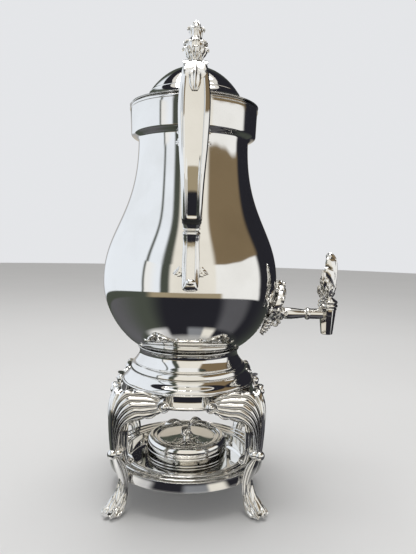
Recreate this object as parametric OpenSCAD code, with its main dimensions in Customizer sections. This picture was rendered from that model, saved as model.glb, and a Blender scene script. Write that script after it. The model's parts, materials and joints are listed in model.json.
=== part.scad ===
// Coffee urn on a four-legged stand with a spirit burner.
// Millimetres, +Z up. The origin is on the vessel's axis at the table.
// The tap points along +X and the two handles along -Y and +Y.

/* [Vessel] */
// Largest outside radius of the belly
belly_r = 81.6; // [77:0.2:86]
// Height of the widest ring of the belly above its seat
belly_h = 60.8; // [56:0.2:66]
// Outside radius of the neck
neck_r = 50.9; // [48:0.1:53]
// Height of the top of the neck above the seat
neck_h = 189.6; // [180:0.2:200]
// Height of the step between neck and mouth band
step_h = 6.8; // [5:0.1:9]
// Outside radius of the mouth band at its foot
band_r = 57.8; // [56:0.1:60]
// Outside radius of the mouth
mouth_r = 58.5; // [57:0.1:61]
// Height of the mouth band
band_h = 21.6; // [18:0.2:26]
// Outside radius where the belly rests on the collar
seat_r = 45.4; // [43:0.1:47]
// Wall of the vessel
wall = 1.2; // [0.9:0.1:1.6]
// Height of the rim wire
rim_h = 2.4; // [1.8:0.1:3]
// How far the rim wire stands proud of the mouth
rim_proud = 0.8; // [0.4:0.1:1.2]
// Depth of the centring ring under the bottom
base_ring_h = 8; // [5:0.5:12]
// Wall of the centring ring
base_ring_t = 2; // [1.2:0.1:3]

/* [Lid] */
// Height of the lid from its flange to its flat top
lid_h = 36; // [30:0.5:42]
// Radius where the dome meets the cove
dome_r = 41.8; // [38:0.2:45]
// Height of that line above the flange
cove_h = 12.4; // [9:0.2:16]
// Wall of the lid
lid_t = 1; // [0.8:0.1:1.5]
// Depth of the ring that plugs the mouth
bezel_h = 10; // [6:0.5:14]
// Wall of that ring
bezel_t = 1; // [0.8:0.1:1.5]
// Radius of the finial's base
finial_base_r = 10.6; // [9:0.1:13]
// Height of the finial
finial_h = 45; // [40:0.5:50]
// Radius of the finial's stud
stud_r = 2.5; // [2:0.1:3.5]

/* [Handles] */
// Distance from the mouth band to the middle of the grip
handle_reach = 46; // [42:0.5:52]
// Height of the middle of the handle's top above the mouth
handle_rise = 11.6; // [8:0.2:15]
// Height of the socket below the top of the neck
socket_drop = 7; // [6:0.5:12]
// Height of the lower heat break above the widest ring
break_rise = 55.2; // [50:0.2:62]
// Widest part of the grip
grip_w = 24; // [20:0.2:27]
// Thickness of the grip
grip_t = 10; // [8:0.2:12]
// Thickness of a heat-break ring along the handle
break_t = 4.5; // [3:0.1:6]
// Radius of a handle pin
handle_pin_r = 1.6; // [1:0.1:2]
// Length of a handle pin
handle_pin_len = 15; // [10:0.5:20]
// Thickness of the thumb leaf
leaf_t = 2.4; // [1.5:0.1:3.5]

/* [Tap] */
// Height of the tap's shank above the seat
tap_h = 31.7; // [28:0.1:36]
// Distance from the belly to the tap's turning axis
tap_reach = 59; // [54:0.5:66]
// Tilt of the leaf plate from upright
plate_tilt = 19; // [15:0.5:23]
// Height of the leaf plate
plate_h = 54; // [46:0.5:60]
// Width of the leaf plate
plate_w = 30; // [24:0.5:36]
// Thickness of the leaf plate
plate_t = 3.4; // [2.5:0.1:5]
// Radius of the hub on the leaf plate
hub_r = 8.6; // [8:0.1:10]
// How far the hub stands out from the belly at the shank's axis
hub_len = 13; // [10:0.5:16]
// Radius of the threaded stub that passes through the belly
stub_r = 4.6; // [4:0.1:5.2]
// Radius of the waterway
waterway_r = 1.6; // [1.2:0.1:2]
// Thickness of the outer gasket
gasket_t = 1; // [0.6:0.1:1.5]
// Half width of the barrel at its top
barrel_top_w = 8; // [7.4:0.1:9]
// Half width of the barrel at the nozzle
nozzle_w = 5.3; // [4.8:0.1:6.5]
// Height of the barrel
barrel_h = 26; // [24:0.5:30]
// Height of the barrel's top above the shank's axis
barrel_rise = 6.4; // [6:0.1:8]
// Radius of the turning plug
plug_r = 3.65; // [3.4:0.05:4]
// Radius of the outlet
outlet_r = 3; // [2.4:0.1:3.2]
// Length of the outlet below the plug
outlet_len = 8; // [6:0.5:9]
// Height of the key above its collar
key_h = 46; // [38:0.5:52]
// Width of the key
key_w = 30; // [24:0.5:34]
// Thickness of the key's plate
key_t = 5; // [4:0.1:7]
// Turn of the key's plate from square across the shank
key_skew = 28; // [0:1:40]
// Height of the key's collar
key_collar_h = 7; // [6:0.1:9]
// Half width of the key's collar
key_collar_w = 9; // [8.4:0.1:10]

/* [Stand] */
// Height of the collar's lip above the table
stand_h = 138.3; // [132:0.2:146]
// Height of the top edge of the apron
apron_top = 107; // [103:0.2:110]
// Height of the bottom edge of the apron
apron_bottom = 93.5; // [90:0.2:96]
// Outside radius of the apron
apron_r = 63.2; // [61:0.1:65]
// Outside radius of the collar's waist
waist_r = 46.9; // [46.6:0.1:48]
// Wall of the stand's spun pieces
stand_wall = 1.2; // [0.9:0.1:1.6]
// Distance from the axis to the middle of the knee
knee_r = 82.5; // [79:0.2:86]
// Distance from the axis to the tip of the toe
toe_r = 99; // [94:0.5:104]
// Half angle that a leg's leaf spreads over the apron
leaf_spread = 29; // [24:1:32]
// Thickness of the leaf over the apron
leaf_depth = 4; // [3:0.2:6]
// Radius of a leg's screw
leg_screw_r = 1.7; // [1.4:0.1:2.2]

/* [Burner ring] */
// Outside radius of the hoop
hoop_r = 74; // [72:0.1:74.3]
// Height of the hoop's bottom edge
hoop_bottom = 26.6; // [24:0.2:29]
// Height of the hoop's band
hoop_h = 8.8; // [7:0.2:11]
// Thickness of the hoop
hoop_t = 1.6; // [1.2:0.1:2.4]
// Inside radius of the pan
pan_r = 56.2; // [52:0.2:58]
// Depth of the pan
pan_depth = 14; // [10:0.5:16]
// Wall of the pan
pan_t = 1.2; // [0.8:0.1:1.6]
// Radius of a hoop screw
hoop_screw_r = 1.2; // [1:0.1:1.5]

/* [Burner] */
// Outside radius of the burner's drum
drum_r = 40.4; // [38:0.2:43]
// Height of the drum to its shoulder
drum_h = 22; // [19:0.5:25]
// Height of the shoulder
shoulder_h = 6; // [5:0.2:8]
// Radius of the drum's mouth
cover_seat_r = 32.4; // [30:0.2:34]
// Wall of the drum
drum_t = 1; // [0.8:0.1:1.4]
// Depth of the ledge that holds the cover
ledge_drop = 3; // [2:0.1:4]
// Wall of the fuel cup
cup_t = 1; // [0.8:0.1:1.4]
// Height of the fuel cup
cup_h = 18; // [15:0.5:19]
// Thickness of the cotton pad
pad_h = 12.5; // [9:0.5:13]
// Thickness of the wire gauze
gauze_t = 0.8; // [0.6:0.1:1.2]
// Thickness of the cover
cover_t = 1.1; // [0.8:0.1:1.5]
// Height of the boss on the cover
boss_h = 8.5; // [6:0.5:11]
// Radius of the boss
boss_r = 4; // [3:0.1:5]
// Length of one arm of the star
star_len = 25; // [20:0.5:28]
// Width of one arm of the star
star_w = 4.2; // [3:0.1:5]
// Thickness of one arm of the star
star_t = 1; // [0.8:0.1:1.4]

/* [Clearances] */
// Gap between pieces that lift apart
lift_gap = 0.3; // [0.2:0.05:0.5]
// Gap round a fixed piece in its seat
seat_gap = 0.1; // [0.05:0.01:0.15]
// Running clearance of the plug in its barrel
run_gap = 0.05; // [0.02:0.01:0.08]
// Side clearance of a ring that slides into another
slide_gap = 0.5; // [0.3:0.1:0.9]

/* [Hidden] */
$fn = 72;

silver = "gainsboro";
dark = "dimgray";
black = "black";

// ---- curves and outlines -------------------------------------------------

// Points on a cubic curve from a to d, steered by b and c
function bez(a, b, c, d, n = 12) =
    [for (i = [0:n]) let (t = i / n, u = 1 - t)
        u * u * u * a + 3 * u * u * t * b + 3 * u * t * t * c + t * t * t * d];
// One point on the same curve
function bez_at(a, b, c, d, t) =
    let (u = 1 - t) u * u * u * a + 3 * u * u * t * b + 3 * u * t * t * c + t * t * t * d;
function tail(v) = [for (i = [1:len(v) - 1]) v[i]];
function flip(v) = [for (i = [len(v) - 1:-1:0]) v[i]];
function unit(v) = v / norm(v);
function along(p, i) = unit(p[min(i + 1, len(p) - 1)] - p[max(i - 1, 0)]);
function to_left(t) = [-t[1], t[0]];
// The same outline moved sideways, to the left of its own direction
function inset(p, d) = [for (i = [0:len(p) - 1]) p[i] + d * to_left(along(p, i))];
// Radius of an outline that rises all the way, at height z
function radius_at(p, z) = lookup(z, [for (q = p) [q[1], q[0]]]);
// Points of a smooth line through p, with n steps between neighbours
function through(p, n) =
    [for (i = [0:len(p) - 2]) for (k = [0:n - 1]) hermite(p, i, k / n), p[len(p) - 1]];
function hermite(p, i, t) =
    let (last = len(p) - 1,
         a = p[max(i - 1, 0)], b = p[i], c = p[i + 1], d = p[min(i + 2, last)])
    0.5 * (2 * b + (c - a) * t + (2 * a - 5 * b + 4 * c - d) * t * t
        + (3 * b - a - 3 * c + d) * t * t * t);

// A spun shell: the outline, which rises, with its wall on the inside
module spun(outline, t)
    rotate_extrude() polygon(concat(outline, flip(inset(outline, t))));

// Everything inside a rising outline, grown by extra
module core_of(outline, extra = 0)
    rotate_extrude()
        polygon(concat([[0, outline[0][1] - extra]], inset(outline, -extra),
                       [[0, outline[len(outline) - 1][1]]]));

// A ring between two radii
module ring(r_in, r_out, h)
    rotate_extrude() translate([r_in, 0]) square([r_out - r_in, h]);

// ---- swept bars ----------------------------------------------------------

// Section corner k of a bar: rounded box, width along X, thickness across
bar_sides = 12;
function round_pow(v) = sign(v) * pow(abs(v), 0.7);
function bar_corner(w, t, k) =
    let (a = 360 * (k + 0.5) / bar_sides)
    [w / 2 * round_pow(cos(a)), t / 2 * round_pow(sin(a))];
// Stations are [r, z, width, thickness] and may end in a unit direction; the
// bar lies in the X = 0 plane, towards -Y, and its end faces are square to it
function bar_points(st) =
    let (p = [for (s = st) [s[0], s[1]]])
    [for (i = [0:len(st) - 1])
        let (n = to_left(len(st[i]) > 4 ? st[i][4] : along(p, i)))
        for (k = [0:bar_sides - 1])
            let (c = bar_corner(st[i][2], st[i][3], k))
            [c[0], -(st[i][0] + n[0] * c[1]), st[i][1] + n[1] * c[1]]];
function bar_faces(m) =
    concat(
        [[for (k = [0:bar_sides - 1]) k]],
        [[for (k = [bar_sides - 1:-1:0]) (m - 1) * bar_sides + k]],
        [for (i = [0:m - 2]) for (k = [0:bar_sides - 1]) for (half = [0, 1])
            let (a = i * bar_sides + k, b = i * bar_sides + (k + 1) % bar_sides)
            half == 0 ? [a, b + bar_sides, b] : [a, a + bar_sides, b + bar_sides]]);
module bar(st) polyhedron(points = bar_points(st), faces = bar_faces(len(st)));

// ---- vessel outline ------------------------------------------------------

seat_z = stand_h;
belly_z = seat_z + belly_h;
neck_z = seat_z + neck_h;
band_z = neck_z + step_h;
mouth_z = band_z + band_h;
rim_z = mouth_z + rim_h;

seat_pt = [seat_r, seat_z];
belly_pt = [belly_r, belly_z];
neck_pt = [neck_r, neck_z];
band_pt = [band_r, band_z];

// How far each curve keeps its direction from its end
seat_pull = [15.4, 5.4];
belly_pull_down = 27.8;
belly_pull_up = 48.5;
neck_pull = 69;
step_pull = 0.6 * step_h;

belly_low = bez(seat_pt, seat_pt + seat_pull, belly_pt - [0, belly_pull_down], belly_pt, 14);
belly_high = bez(belly_pt, belly_pt + [0, belly_pull_up], neck_pt - [0, neck_pull], neck_pt, 22);
neck_step = bez(neck_pt, neck_pt + [0, step_pull], band_pt - [0, step_pull], band_pt, 8);
vessel_outer = concat(belly_low, tail(belly_high), tail(neck_step),
    [[mouth_r, mouth_z - rim_h], [mouth_r, mouth_z]]);
vessel_inner = inset(vessel_outer, wall);

// ---- vessel --------------------------------------------------------------

tap_z = seat_z + tap_h;
tap_root = radius_at(vessel_outer, tap_z);
stub_hole_r = stub_r + seat_gap;

// The part of the vessel's wall between two heights, where it is soldered
module wall_between(low, high)
    rotate_extrude() intersection() {
        polygon(concat(vessel_outer, flip(vessel_inner)));
        translate([0, low]) square([2 * belly_r, high - low]);
    }

// Bottom bowl up to the widest ring, upper body, and mouth band with its step
module vessel_bowl()
    color(silver) difference() {
        wall_between(seat_z - seat_gap, belly_z);
        translate([tap_root, 0, tap_z]) rotate([0, 90, 0])
            cylinder(r = stub_hole_r, h = 2 * hub_len, center = true);
    }
module vessel_shell() color(silver) wall_between(belly_z, neck_z);
module mouth_band() color(silver) wall_between(neck_z, mouth_z);

base_disc_r = seat_r - 0.45 * wall;
module vessel_base_disc()
    color(silver) translate([0, 0, seat_z - seat_gap])
        cylinder(r = base_disc_r, h = wall);

base_ring_r = min(waist_r - stand_wall - slide_gap, base_disc_r) - slide_gap;
module vessel_base_ring()
    color(silver) translate([0, 0, seat_z - seat_gap - base_ring_h])
        ring(base_ring_r - base_ring_t, base_ring_r, base_ring_h);

rim_out = mouth_r + rim_proud;
rim_in = mouth_r - wall - rim_proud / 2;
module rim_wire()
    color(silver) rotate_extrude()
        polygon(concat([[rim_in, mouth_z]],
            bez([rim_out, mouth_z], [rim_out, mouth_z + rim_h * 1.3],
                [rim_in, mouth_z + rim_h * 1.3], [rim_in, mouth_z + rim_h * 0.4], 10)));

// ---- lid -----------------------------------------------------------------

rim_crest = mouth_z + rim_h * 1.09;
lid_z = rim_crest + lift_gap;
lid_r = rim_out + 0.2;
flat_r = finial_base_r + 0.6;
lid_top = lid_z + lid_h;
cove_pt = [dome_r, lid_z + cove_h];
flange_t = lid_t + 0.2;
lid_outer = concat(
    bez([lid_r - 0.6, lid_z + flange_t], [lid_r - 8, lid_z + flange_t + 1],
        cove_pt + [3.4, -5.6], cove_pt, 10),
    tail(bez(cove_pt, cove_pt + [-5.2, 8.6], [flat_r + 12, lid_top - 1], [flat_r, lid_top], 12)),
    [[0, lid_top]]);
bezel_r = mouth_r - wall - slide_gap - (mouth_r - band_r) * bezel_h / band_h;
flange_in = bezel_r - bezel_t - 1;

module lid_dome()
    color(silver) difference() {
        union() {
            rotate_extrude() intersection() {
                polygon(concat(lid_outer, [[0, lid_top - lid_t]],
                               tail(flip(inset(lid_outer, lid_t)))));
                translate([0, lid_z]) square([lid_r, lid_h + 1]);
            }
            translate([0, 0, lid_z]) ring(flange_in, lid_r, flange_t);
        }
        translate([0, 0, lid_top - 5]) cylinder(r = stud_r + seat_gap, h = 10);
    }

module lid_bezel()
    color(silver) translate([0, 0, lid_z - bezel_h])
        ring(bezel_r - bezel_t, bezel_r, bezel_h);

// Finial outline as shares of its base radius and height
finial_shape = [
    [1, 0], [1.04, 0.02], [0.98, 0.045], [0.86, 0.055], [0.9, 0.08], [0.78, 0.11],
    [0.56, 0.13], [0.44, 0.18], [0.52, 0.25], [0.8, 0.33], [0.98, 0.42], [0.98, 0.5],
    [0.84, 0.57], [0.64, 0.63], [0.58, 0.69], [0.68, 0.74], [0.7, 0.8], [0.54, 0.86],
    [0.36, 0.9], [0.31, 0.94], [0.2, 0.98]
];
finial_lobes = 8;
lobe_r = 0.28 * finial_base_r;
crown_r = 0.2 * finial_base_r;
washer_t = 1.2;
nut_t = 4;
stud_len = lid_t + washer_t + nut_t + 1;

module lid_finial()
    color(silver) translate([0, 0, lid_top]) {
        rotate_extrude()
            polygon(concat([[0, 0]],
                [for (q = finial_shape) [q[0] * finial_base_r, q[1] * finial_h]],
                [[0, finial_h]]));
        for (i = [0:finial_lobes - 1]) {
            rotate(360 * i / finial_lobes)
                translate([0.88 * finial_base_r, 0, 0.45 * finial_h])
                    sphere(r = lobe_r, $fn = 24);
            rotate(360 * (i + 0.5) / finial_lobes)
                translate([0.6 * finial_base_r, 0, 0.77 * finial_h])
                    sphere(r = crown_r, $fn = 24);
        }
        translate([0, 0, -stud_len]) cylinder(r = stud_r, h = stud_len + 1);
    }

module finial_washer()
    color(silver) translate([0, 0, lid_top - lid_t - washer_t])
        ring(stud_r + seat_gap, flat_r - 2, washer_t);

module hex_nut(r, hole_r, h)
    difference() {
        cylinder(r = r, h = h, $fn = 6);
        translate([0, 0, -1]) cylinder(r = hole_r, h = h + 2);
    }

module finial_nut()
    color(silver) translate([0, 0, lid_top - lid_t - washer_t - nut_t])
        hex_nut(2.2 * stud_r, stud_r + seat_gap, nut_t);

// ---- handles -------------------------------------------------------------

socket_z = neck_z - socket_drop;
top_z = mouth_z + handle_rise;
grip_r = mouth_r + handle_reach;
break_z = belly_z + break_rise;
break_stand_off = 2 * grip_t;
crown_pt = [mouth_r + 0.7 * handle_reach, top_z];
break_pt = [radius_at(vessel_outer, break_z) + break_stand_off, break_z];
foot_pt = [belly_r + 0.36 * grip_t, belly_z + 0.9 * grip_t];
curl_end = [belly_r + 1.3 * grip_t, belly_z + 0.7 * grip_t];

// How far the handle's curves keep their direction
socket_pull = 0.587 * handle_reach;
crown_pull_in = 0.326 * handle_reach;
crown_pull_out = 0.413 * handle_reach;
grip_pull = [grip_r + 0.0674 * handle_reach, break_z + 0.332 * (top_z - break_z)];
break_dir = break_pt - grip_pull;
limb_pull = 0.26;
foot_pull_up = grip_t * [-0.54, 1.4];
foot_pull_down = grip_t * [0.34, -0.88];
curl_pull = grip_t * [0.1, -0.8];

// The handle's middle line in four curves: neck to crown, crown to lower
// break, break to belly, and the outward curl at the end
handle_curves = [
    [[neck_r - 4, socket_z], [neck_r + socket_pull, socket_z],
     crown_pt - [crown_pull_in, 0], crown_pt],
    [crown_pt, crown_pt + [crown_pull_out, 0], grip_pull, break_pt],
    [break_pt, break_pt + limb_pull * break_dir, foot_pt + foot_pull_up, foot_pt],
    [foot_pt, foot_pt + foot_pull_down, curl_end + curl_pull, curl_end]
];
function handle_at(s) =
    let (i = max(0, min(floor(s), 3)), c = handle_curves[i]) bez_at(c[0], c[1], c[2], c[3], s - i);
function handle_speed(s) = norm(handle_at(s + 0.01) - handle_at(s - 0.01)) / 0.02;

// Stations of the two heat breaks and of the handle's end
upper_s = 0.64;
lower_s = 2;
end_s = 4;
upper_half = break_t / 2 / handle_speed(upper_s);
lower_s1 = lower_s - break_t / 2 / (3 * norm(break_dir));
lower_s2 = lower_s + break_t / 2 / (3 * limb_pull * norm(break_dir));

// Width and thickness along the handle, as shares of the grip's
handle_width = [[0, 0.75], [0.3, 0.6], [0.6, 0.54], [0.8, 0.6], [1, 0.7], [1.2, 0.86],
    [1.4, 1], [1.6, 0.92], [1.8, 0.74], [2, 0.65], [2.12, 0.6], [2.24, 0.46],
    [2.3, 0.56], [2.4, 0.53], [2.7, 0.58], [3, 0.57], [3.5, 0.52], [4, 0.36]];
handle_thick = [[0, 1.3], [0.3, 1.1], [0.6, 1], [1, 0.9], [1.4, 1], [1.8, 1.05],
    [2, 1], [2.12, 0.86], [2.24, 0.66], [2.3, 0.78], [2.4, 0.65], [3, 0.56],
    [3.5, 0.44], [4, 0.3]];
function handle_dir(s) = unit(handle_at(s + 0.005) - handle_at(s - 0.005));
function handle_station(s) =
    let (p = handle_at(s))
    [p[0], p[1], grip_w * lookup(s, handle_width), grip_t * lookup(s, handle_thick),
     handle_dir(s)];
function handle_run(s1, s2, n) = [for (i = [0:n]) handle_station(s1 + (s2 - s1) * i / n)];

// A handle pin, along the handle at station s
module handle_pin(s, extra = 0) {
    p = handle_at(s);
    d = handle_dir(s);
    translate([0, -p[0], p[1]]) rotate([atan2(d[0], d[1]), 0, 0])
        cylinder(r = handle_pin_r + extra, h = handle_pin_len + 2 * extra, center = true,
                 $fn = 24);
}
module pin_holes() {
    handle_pin(upper_s, seat_gap);
    handle_pin(lower_s, seat_gap);
}
module handle_cut(s1, s2, n, c = silver)
    color(c) difference() {
        bar(handle_run(s1, s2, n));
        pin_holes();
    }

module socket_piece()
    color(silver) difference() {
        bar(handle_run(0, upper_s - upper_half, 12));
        core_of(vessel_outer, seat_gap);
        pin_holes();
    }
module upper_break() handle_cut(upper_s - upper_half, upper_s + upper_half, 2, black);
module grip_piece() handle_cut(upper_s + upper_half, lower_s1, 26);
module lower_break() handle_cut(lower_s1, lower_s2, 3, black);
module limb_piece()
    color(silver) difference() {
        bar(handle_run(lower_s2, end_s, 30));
        core_of(vessel_outer, seat_gap);
        pin_holes();
    }
module pins_piece()
    color(dark) {
        handle_pin(upper_s);
        handle_pin(lower_s);
    }

// The leaf lies on the outside of the grip, over its crown
leaf_s1 = 0.74;
leaf_s2 = 1.34;
leaf_steps = 14;
leaf_width = [[0, 0.3], [0.2, 0.85], [0.45, 1], [0.7, 0.8], [0.9, 0.45], [1, 0.2]];
module leaf_piece() {
    line = [for (i = [0:leaf_steps]) handle_station(leaf_s1 + (leaf_s2 - leaf_s1) * i / leaf_steps)];
    mid = [for (q = line) [q[0], q[1]]];
    color(silver)
        bar([for (i = [0:leaf_steps])
            let (q = mid[i] + to_left(along(mid, i)) * (line[i][3] / 2 + leaf_t / 2 + seat_gap))
            [q[0], q[1], 0.75 * grip_w * lookup(i / leaf_steps, leaf_width), leaf_t]]);
}

module rear() mirror([0, 1, 0]) children();

module front_handle_socket() socket_piece();
module front_upper_insulator() upper_break();
module front_handle_grip() grip_piece();
module front_thumb_leaf() leaf_piece();
module front_lower_insulator() lower_break();
module front_handle_limb() limb_piece();
module front_handle_pins() pins_piece();
module rear_handle_socket() rear() socket_piece();
module rear_upper_insulator() rear() upper_break();
module rear_handle_grip() rear() grip_piece();
module rear_thumb_leaf() rear() leaf_piece();
module rear_lower_insulator() rear() lower_break();
module rear_handle_limb() rear() limb_piece();
module rear_handle_pins() rear() pins_piece();

// ---- spigot --------------------------------------------------------------

tap_x = tap_root + tap_reach;
hub_x = tap_root + hub_len;
hub_bevel = 3;
hub_sink = 6;
plate_mid_x = tap_root + 3.6;
plate_lift = 0.07 * plate_h;

// Moves its children to the shank's axis, which runs along +X
module on_shank(x) translate([x, 0, tap_z]) rotate([0, 90, 0]) children();

// Pointed leaf outline, tall along Y, with scalloped sides
function leaf_outline(w, h, scallops = 4) =
    let (n = 40)
    [for (i = [0:n - 1])
        let (a = 360 * i / n, f = 1 - 0.1 * abs(sin(scallops * a)))
        [w / 2 * sin(a) * f, h / 2 * cos(a) * (1 - 0.12 * abs(sin(a)))]];

module spigot_escutcheon()
    color(silver) difference() {
        union() {
            translate([plate_mid_x, 0, tap_z]) rotate([0, plate_tilt, 0])
                rotate([90, 0, 90]) translate([0, plate_lift, -plate_t / 2])
                    linear_extrude(plate_t) polygon(leaf_outline(plate_w, plate_h));
            on_shank(tap_root - hub_sink) cylinder(r = hub_r, h = hub_len + hub_sink - hub_bevel);
            on_shank(hub_x - hub_bevel) cylinder(r1 = hub_r, r2 = hub_r - 2, h = hub_bevel);
        }
        core_of(vessel_outer, gasket_t + 2 * seat_gap);
        on_shank(tap_root - plate_h / 2) cylinder(r = stub_hole_r, h = plate_h / 2 + 2 * hub_len);
    }

module spigot_outer_gasket()
    color(black) difference() {
        intersection() {
            on_shank(tap_root - hub_sink) ring(stub_hole_r, hub_r, 2 * hub_sink);
            core_of(vessel_outer, gasket_t + seat_gap);
        }
        core_of(vessel_outer, seat_gap);
    }

nut_seat = 9;
nut_w = 4.6;
stub_len = nut_seat + nut_w + 2.4;
flange_r = 6.6;
flange_w = 2.2;
shank_root_r = 3.95;
shank_tip_r = 2.4;
shank_ring_r = 4.75;
shank_ring_w = 2.6;
shank_end_r = 3.5;
socket_depth = 2;
barrel_w_at = nozzle_w + (barrel_top_w - nozzle_w) * (barrel_h - barrel_rise) / barrel_h;
shank_end = tap_reach - barrel_w_at + socket_depth;
shank_ring_x = shank_end - 14;

module spigot_shank()
    color(silver) on_shank(tap_root) difference() {
        rotate_extrude() polygon([
            [0, -stub_len], [stub_r, -stub_len], [stub_r, hub_len],
            [flange_r, hub_len], [flange_r, hub_len + flange_w],
            [shank_root_r, hub_len + flange_w + 1],
            [shank_tip_r, shank_ring_x - 2], [shank_ring_r, shank_ring_x - 1],
            [shank_ring_r, shank_ring_x + shank_ring_w - 1],
            [shank_end_r, shank_ring_x + shank_ring_w], [shank_end_r, shank_end],
            [0, shank_end]
        ]);
        translate([0, 0, -stub_len - 1])
            cylinder(r = waterway_r, h = stub_len + shank_end + 2);
    }

nut_face = tap_root - nut_seat;
module spigot_inner_gasket()
    color(black) intersection() {
        on_shank(nut_face) ring(stub_hole_r, hub_r + 0.6, 20);
        core_of(vessel_inner, -seat_gap);
    }

module spigot_locknut()
    color(silver) on_shank(nut_face - nut_w) hex_nut(2 * stub_r, stub_hole_r, nut_w);

barrel_top = tap_z + barrel_rise;
barrel_z = barrel_top - barrel_h;
plug_z = barrel_z + outlet_len;
plug_foot = plug_z + 0.2;
octagon = 1 / cos(22.5);
bore_r = plug_r + run_gap;
screw_z = barrel_top - 1.9;
screw_r = 1;
stop_r = 0.8;
stop_at = 6;
stop_play = 0.3;
stop_depth = 3;
stop_rise = 1.4;

module at_tap(z) translate([tap_x, 0, z]) children();

module tap_barrel()
    color(silver) difference() {
        at_tap(barrel_z) rotate(22.5)
            cylinder(r1 = nozzle_w * octagon, r2 = barrel_top_w * octagon, h = barrel_h,
                     $fn = 8);
        at_tap(barrel_z - 1) cylinder(r = outlet_r, h = barrel_h);
        at_tap(plug_z) cylinder(r = bore_r, h = barrel_h);
        on_shank(tap_root + shank_end - socket_depth - 4)
            cylinder(r = shank_end_r + seat_gap, h = socket_depth + 4 + seat_gap);
        on_shank(tap_x - barrel_top_w - 2) cylinder(r = waterway_r, h = barrel_top_w + 2);
        at_tap(screw_z) rotate([90, 0, 0]) cylinder(r = screw_r + seat_gap, h = 20);
        at_tap(barrel_top - stop_depth) rotate(45) translate([stop_at, 0, 0])
            cylinder(r = stop_r, h = 2 * stop_depth, $fn = 24);
    }

screw_tip = plug_r - 0.55;
screw_head = 1.6;
module tap_retaining_screw()
    color(silver) at_tap(screw_z) rotate([90, 0, 0]) {
        translate([0, 0, screw_tip])
            cylinder(r = screw_r, h = barrel_top_w - screw_tip + seat_gap);
        translate([-2, -2, barrel_top_w + seat_gap]) cube([4, 4, screw_head]);
    }

module tap_stop_pin()
    color(dark) at_tap(barrel_top - stop_depth + seat_gap) rotate(45) translate([stop_at, 0, 0])
        cylinder(r = stop_r - seat_gap, h = stop_depth + stop_rise, $fn = 24);

washer_gap = 0.05;
key_washer_t = 0.6;
key_washer_r = stop_at - stop_r - stop_play;
collar_z = barrel_top + key_washer_t + 2 * washer_gap;
stem_r = 2.6;
stem_top = collar_z + key_collar_h + 5;
groove_r = screw_tip - 0.2;
groove_half = screw_r + 0.2;
plug_hollow_r = 0.55 * plug_r;
key_pin_r = 1;

module key_pin_hole()
    at_tap(collar_z + key_collar_h / 2) rotate([90, 0, 0])
        cylinder(r = key_pin_r + seat_gap, h = 3 * key_collar_w, center = true);

module tap_plug()
    color(silver) difference() {
        translate([tap_x, 0, 0]) rotate_extrude()
            polygon([
                [0, plug_foot], [plug_r, plug_foot], [plug_r, screw_z - groove_half],
                [groove_r, screw_z - groove_half], [groove_r, screw_z + groove_half],
                [plug_r, screw_z + groove_half], [plug_r, barrel_top], [stem_r, barrel_top],
                [stem_r, stem_top], [0, stem_top]
            ]);
        at_tap(plug_z - 1) cylinder(r = plug_hollow_r, h = tap_z - plug_z + 1);
        at_tap(tap_z) rotate([-90, 0, 0]) cylinder(r = waterway_r - 0.1, h = 10);
        key_pin_hole();
    }

module tap_key_washer()
    color(dark) at_tap(barrel_top + washer_gap)
        ring(stem_r + seat_gap, key_washer_r, key_washer_t);

// Key: collar, neck and a scrolled leaf that stands across the shank. Its
// notch runs a quarter turn past the stop pin, with some degrees to spare
notch_play = 9;
notch_h = 2;
key_sink = 0.5;
module key_outline() {
    half = key_w / 2;
    right = concat(
        bez([0.2 * half, 0], [0.45 * half, 0.1 * key_h], [1.25 * half, 0.12 * key_h],
            [0.95 * half, 0.36 * key_h], 8),
        tail(bez([0.95 * half, 0.36 * key_h], [0.75 * half, 0.5 * key_h],
            [0.5 * half, 0.46 * key_h], [0.6 * half, 0.62 * key_h], 6)),
        tail(bez([0.6 * half, 0.62 * key_h], [0.75 * half, 0.86 * key_h],
            [0.35 * half, key_h], [0, key_h], 8)));
    left = [for (i = [len(right) - 2:-1:0]) [-right[i][0], right[i][1]]];
    polygon(concat(right, left));
}
module tap_key_handle()
    color(silver) difference() {
        union() {
            at_tap(collar_z) rotate(22.5)
                cylinder(r = key_collar_w * octagon, h = key_collar_h, $fn = 8);
            at_tap(collar_z + key_collar_h - key_sink)
                rotate([90, 0, 90 - key_skew]) translate([0, 0, -key_t / 2])
                    difference() {
                        linear_extrude(key_t) key_outline();
                        for (side = [-1, 1])
                            translate([side * 0.52 * key_w / 2, 0.28 * key_h, -1])
                                cylinder(r = 0.13 * key_w / 2 + 0.6, h = key_t + 2);
                    }
        }
        at_tap(collar_z - 1) cylinder(r = stem_r + seat_gap, h = stem_top - collar_z + 1 + seat_gap);
        key_pin_hole();
        at_tap(collar_z - 1) rotate(-45 - notch_play)
            rotate_extrude(angle = 90 + 2 * notch_play)
                translate([stop_at - stop_r - stop_play, 0])
                    square([2 * (stop_r + stop_play), notch_h + 1]);
    }

module tap_key_pin()
    color(dark) at_tap(collar_z + key_collar_h / 2) rotate([90, 0, 0])
        cylinder(r = key_pin_r, h = 2 * key_collar_w - 0.6, center = true);

// ---- stand ---------------------------------------------------------------

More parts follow.
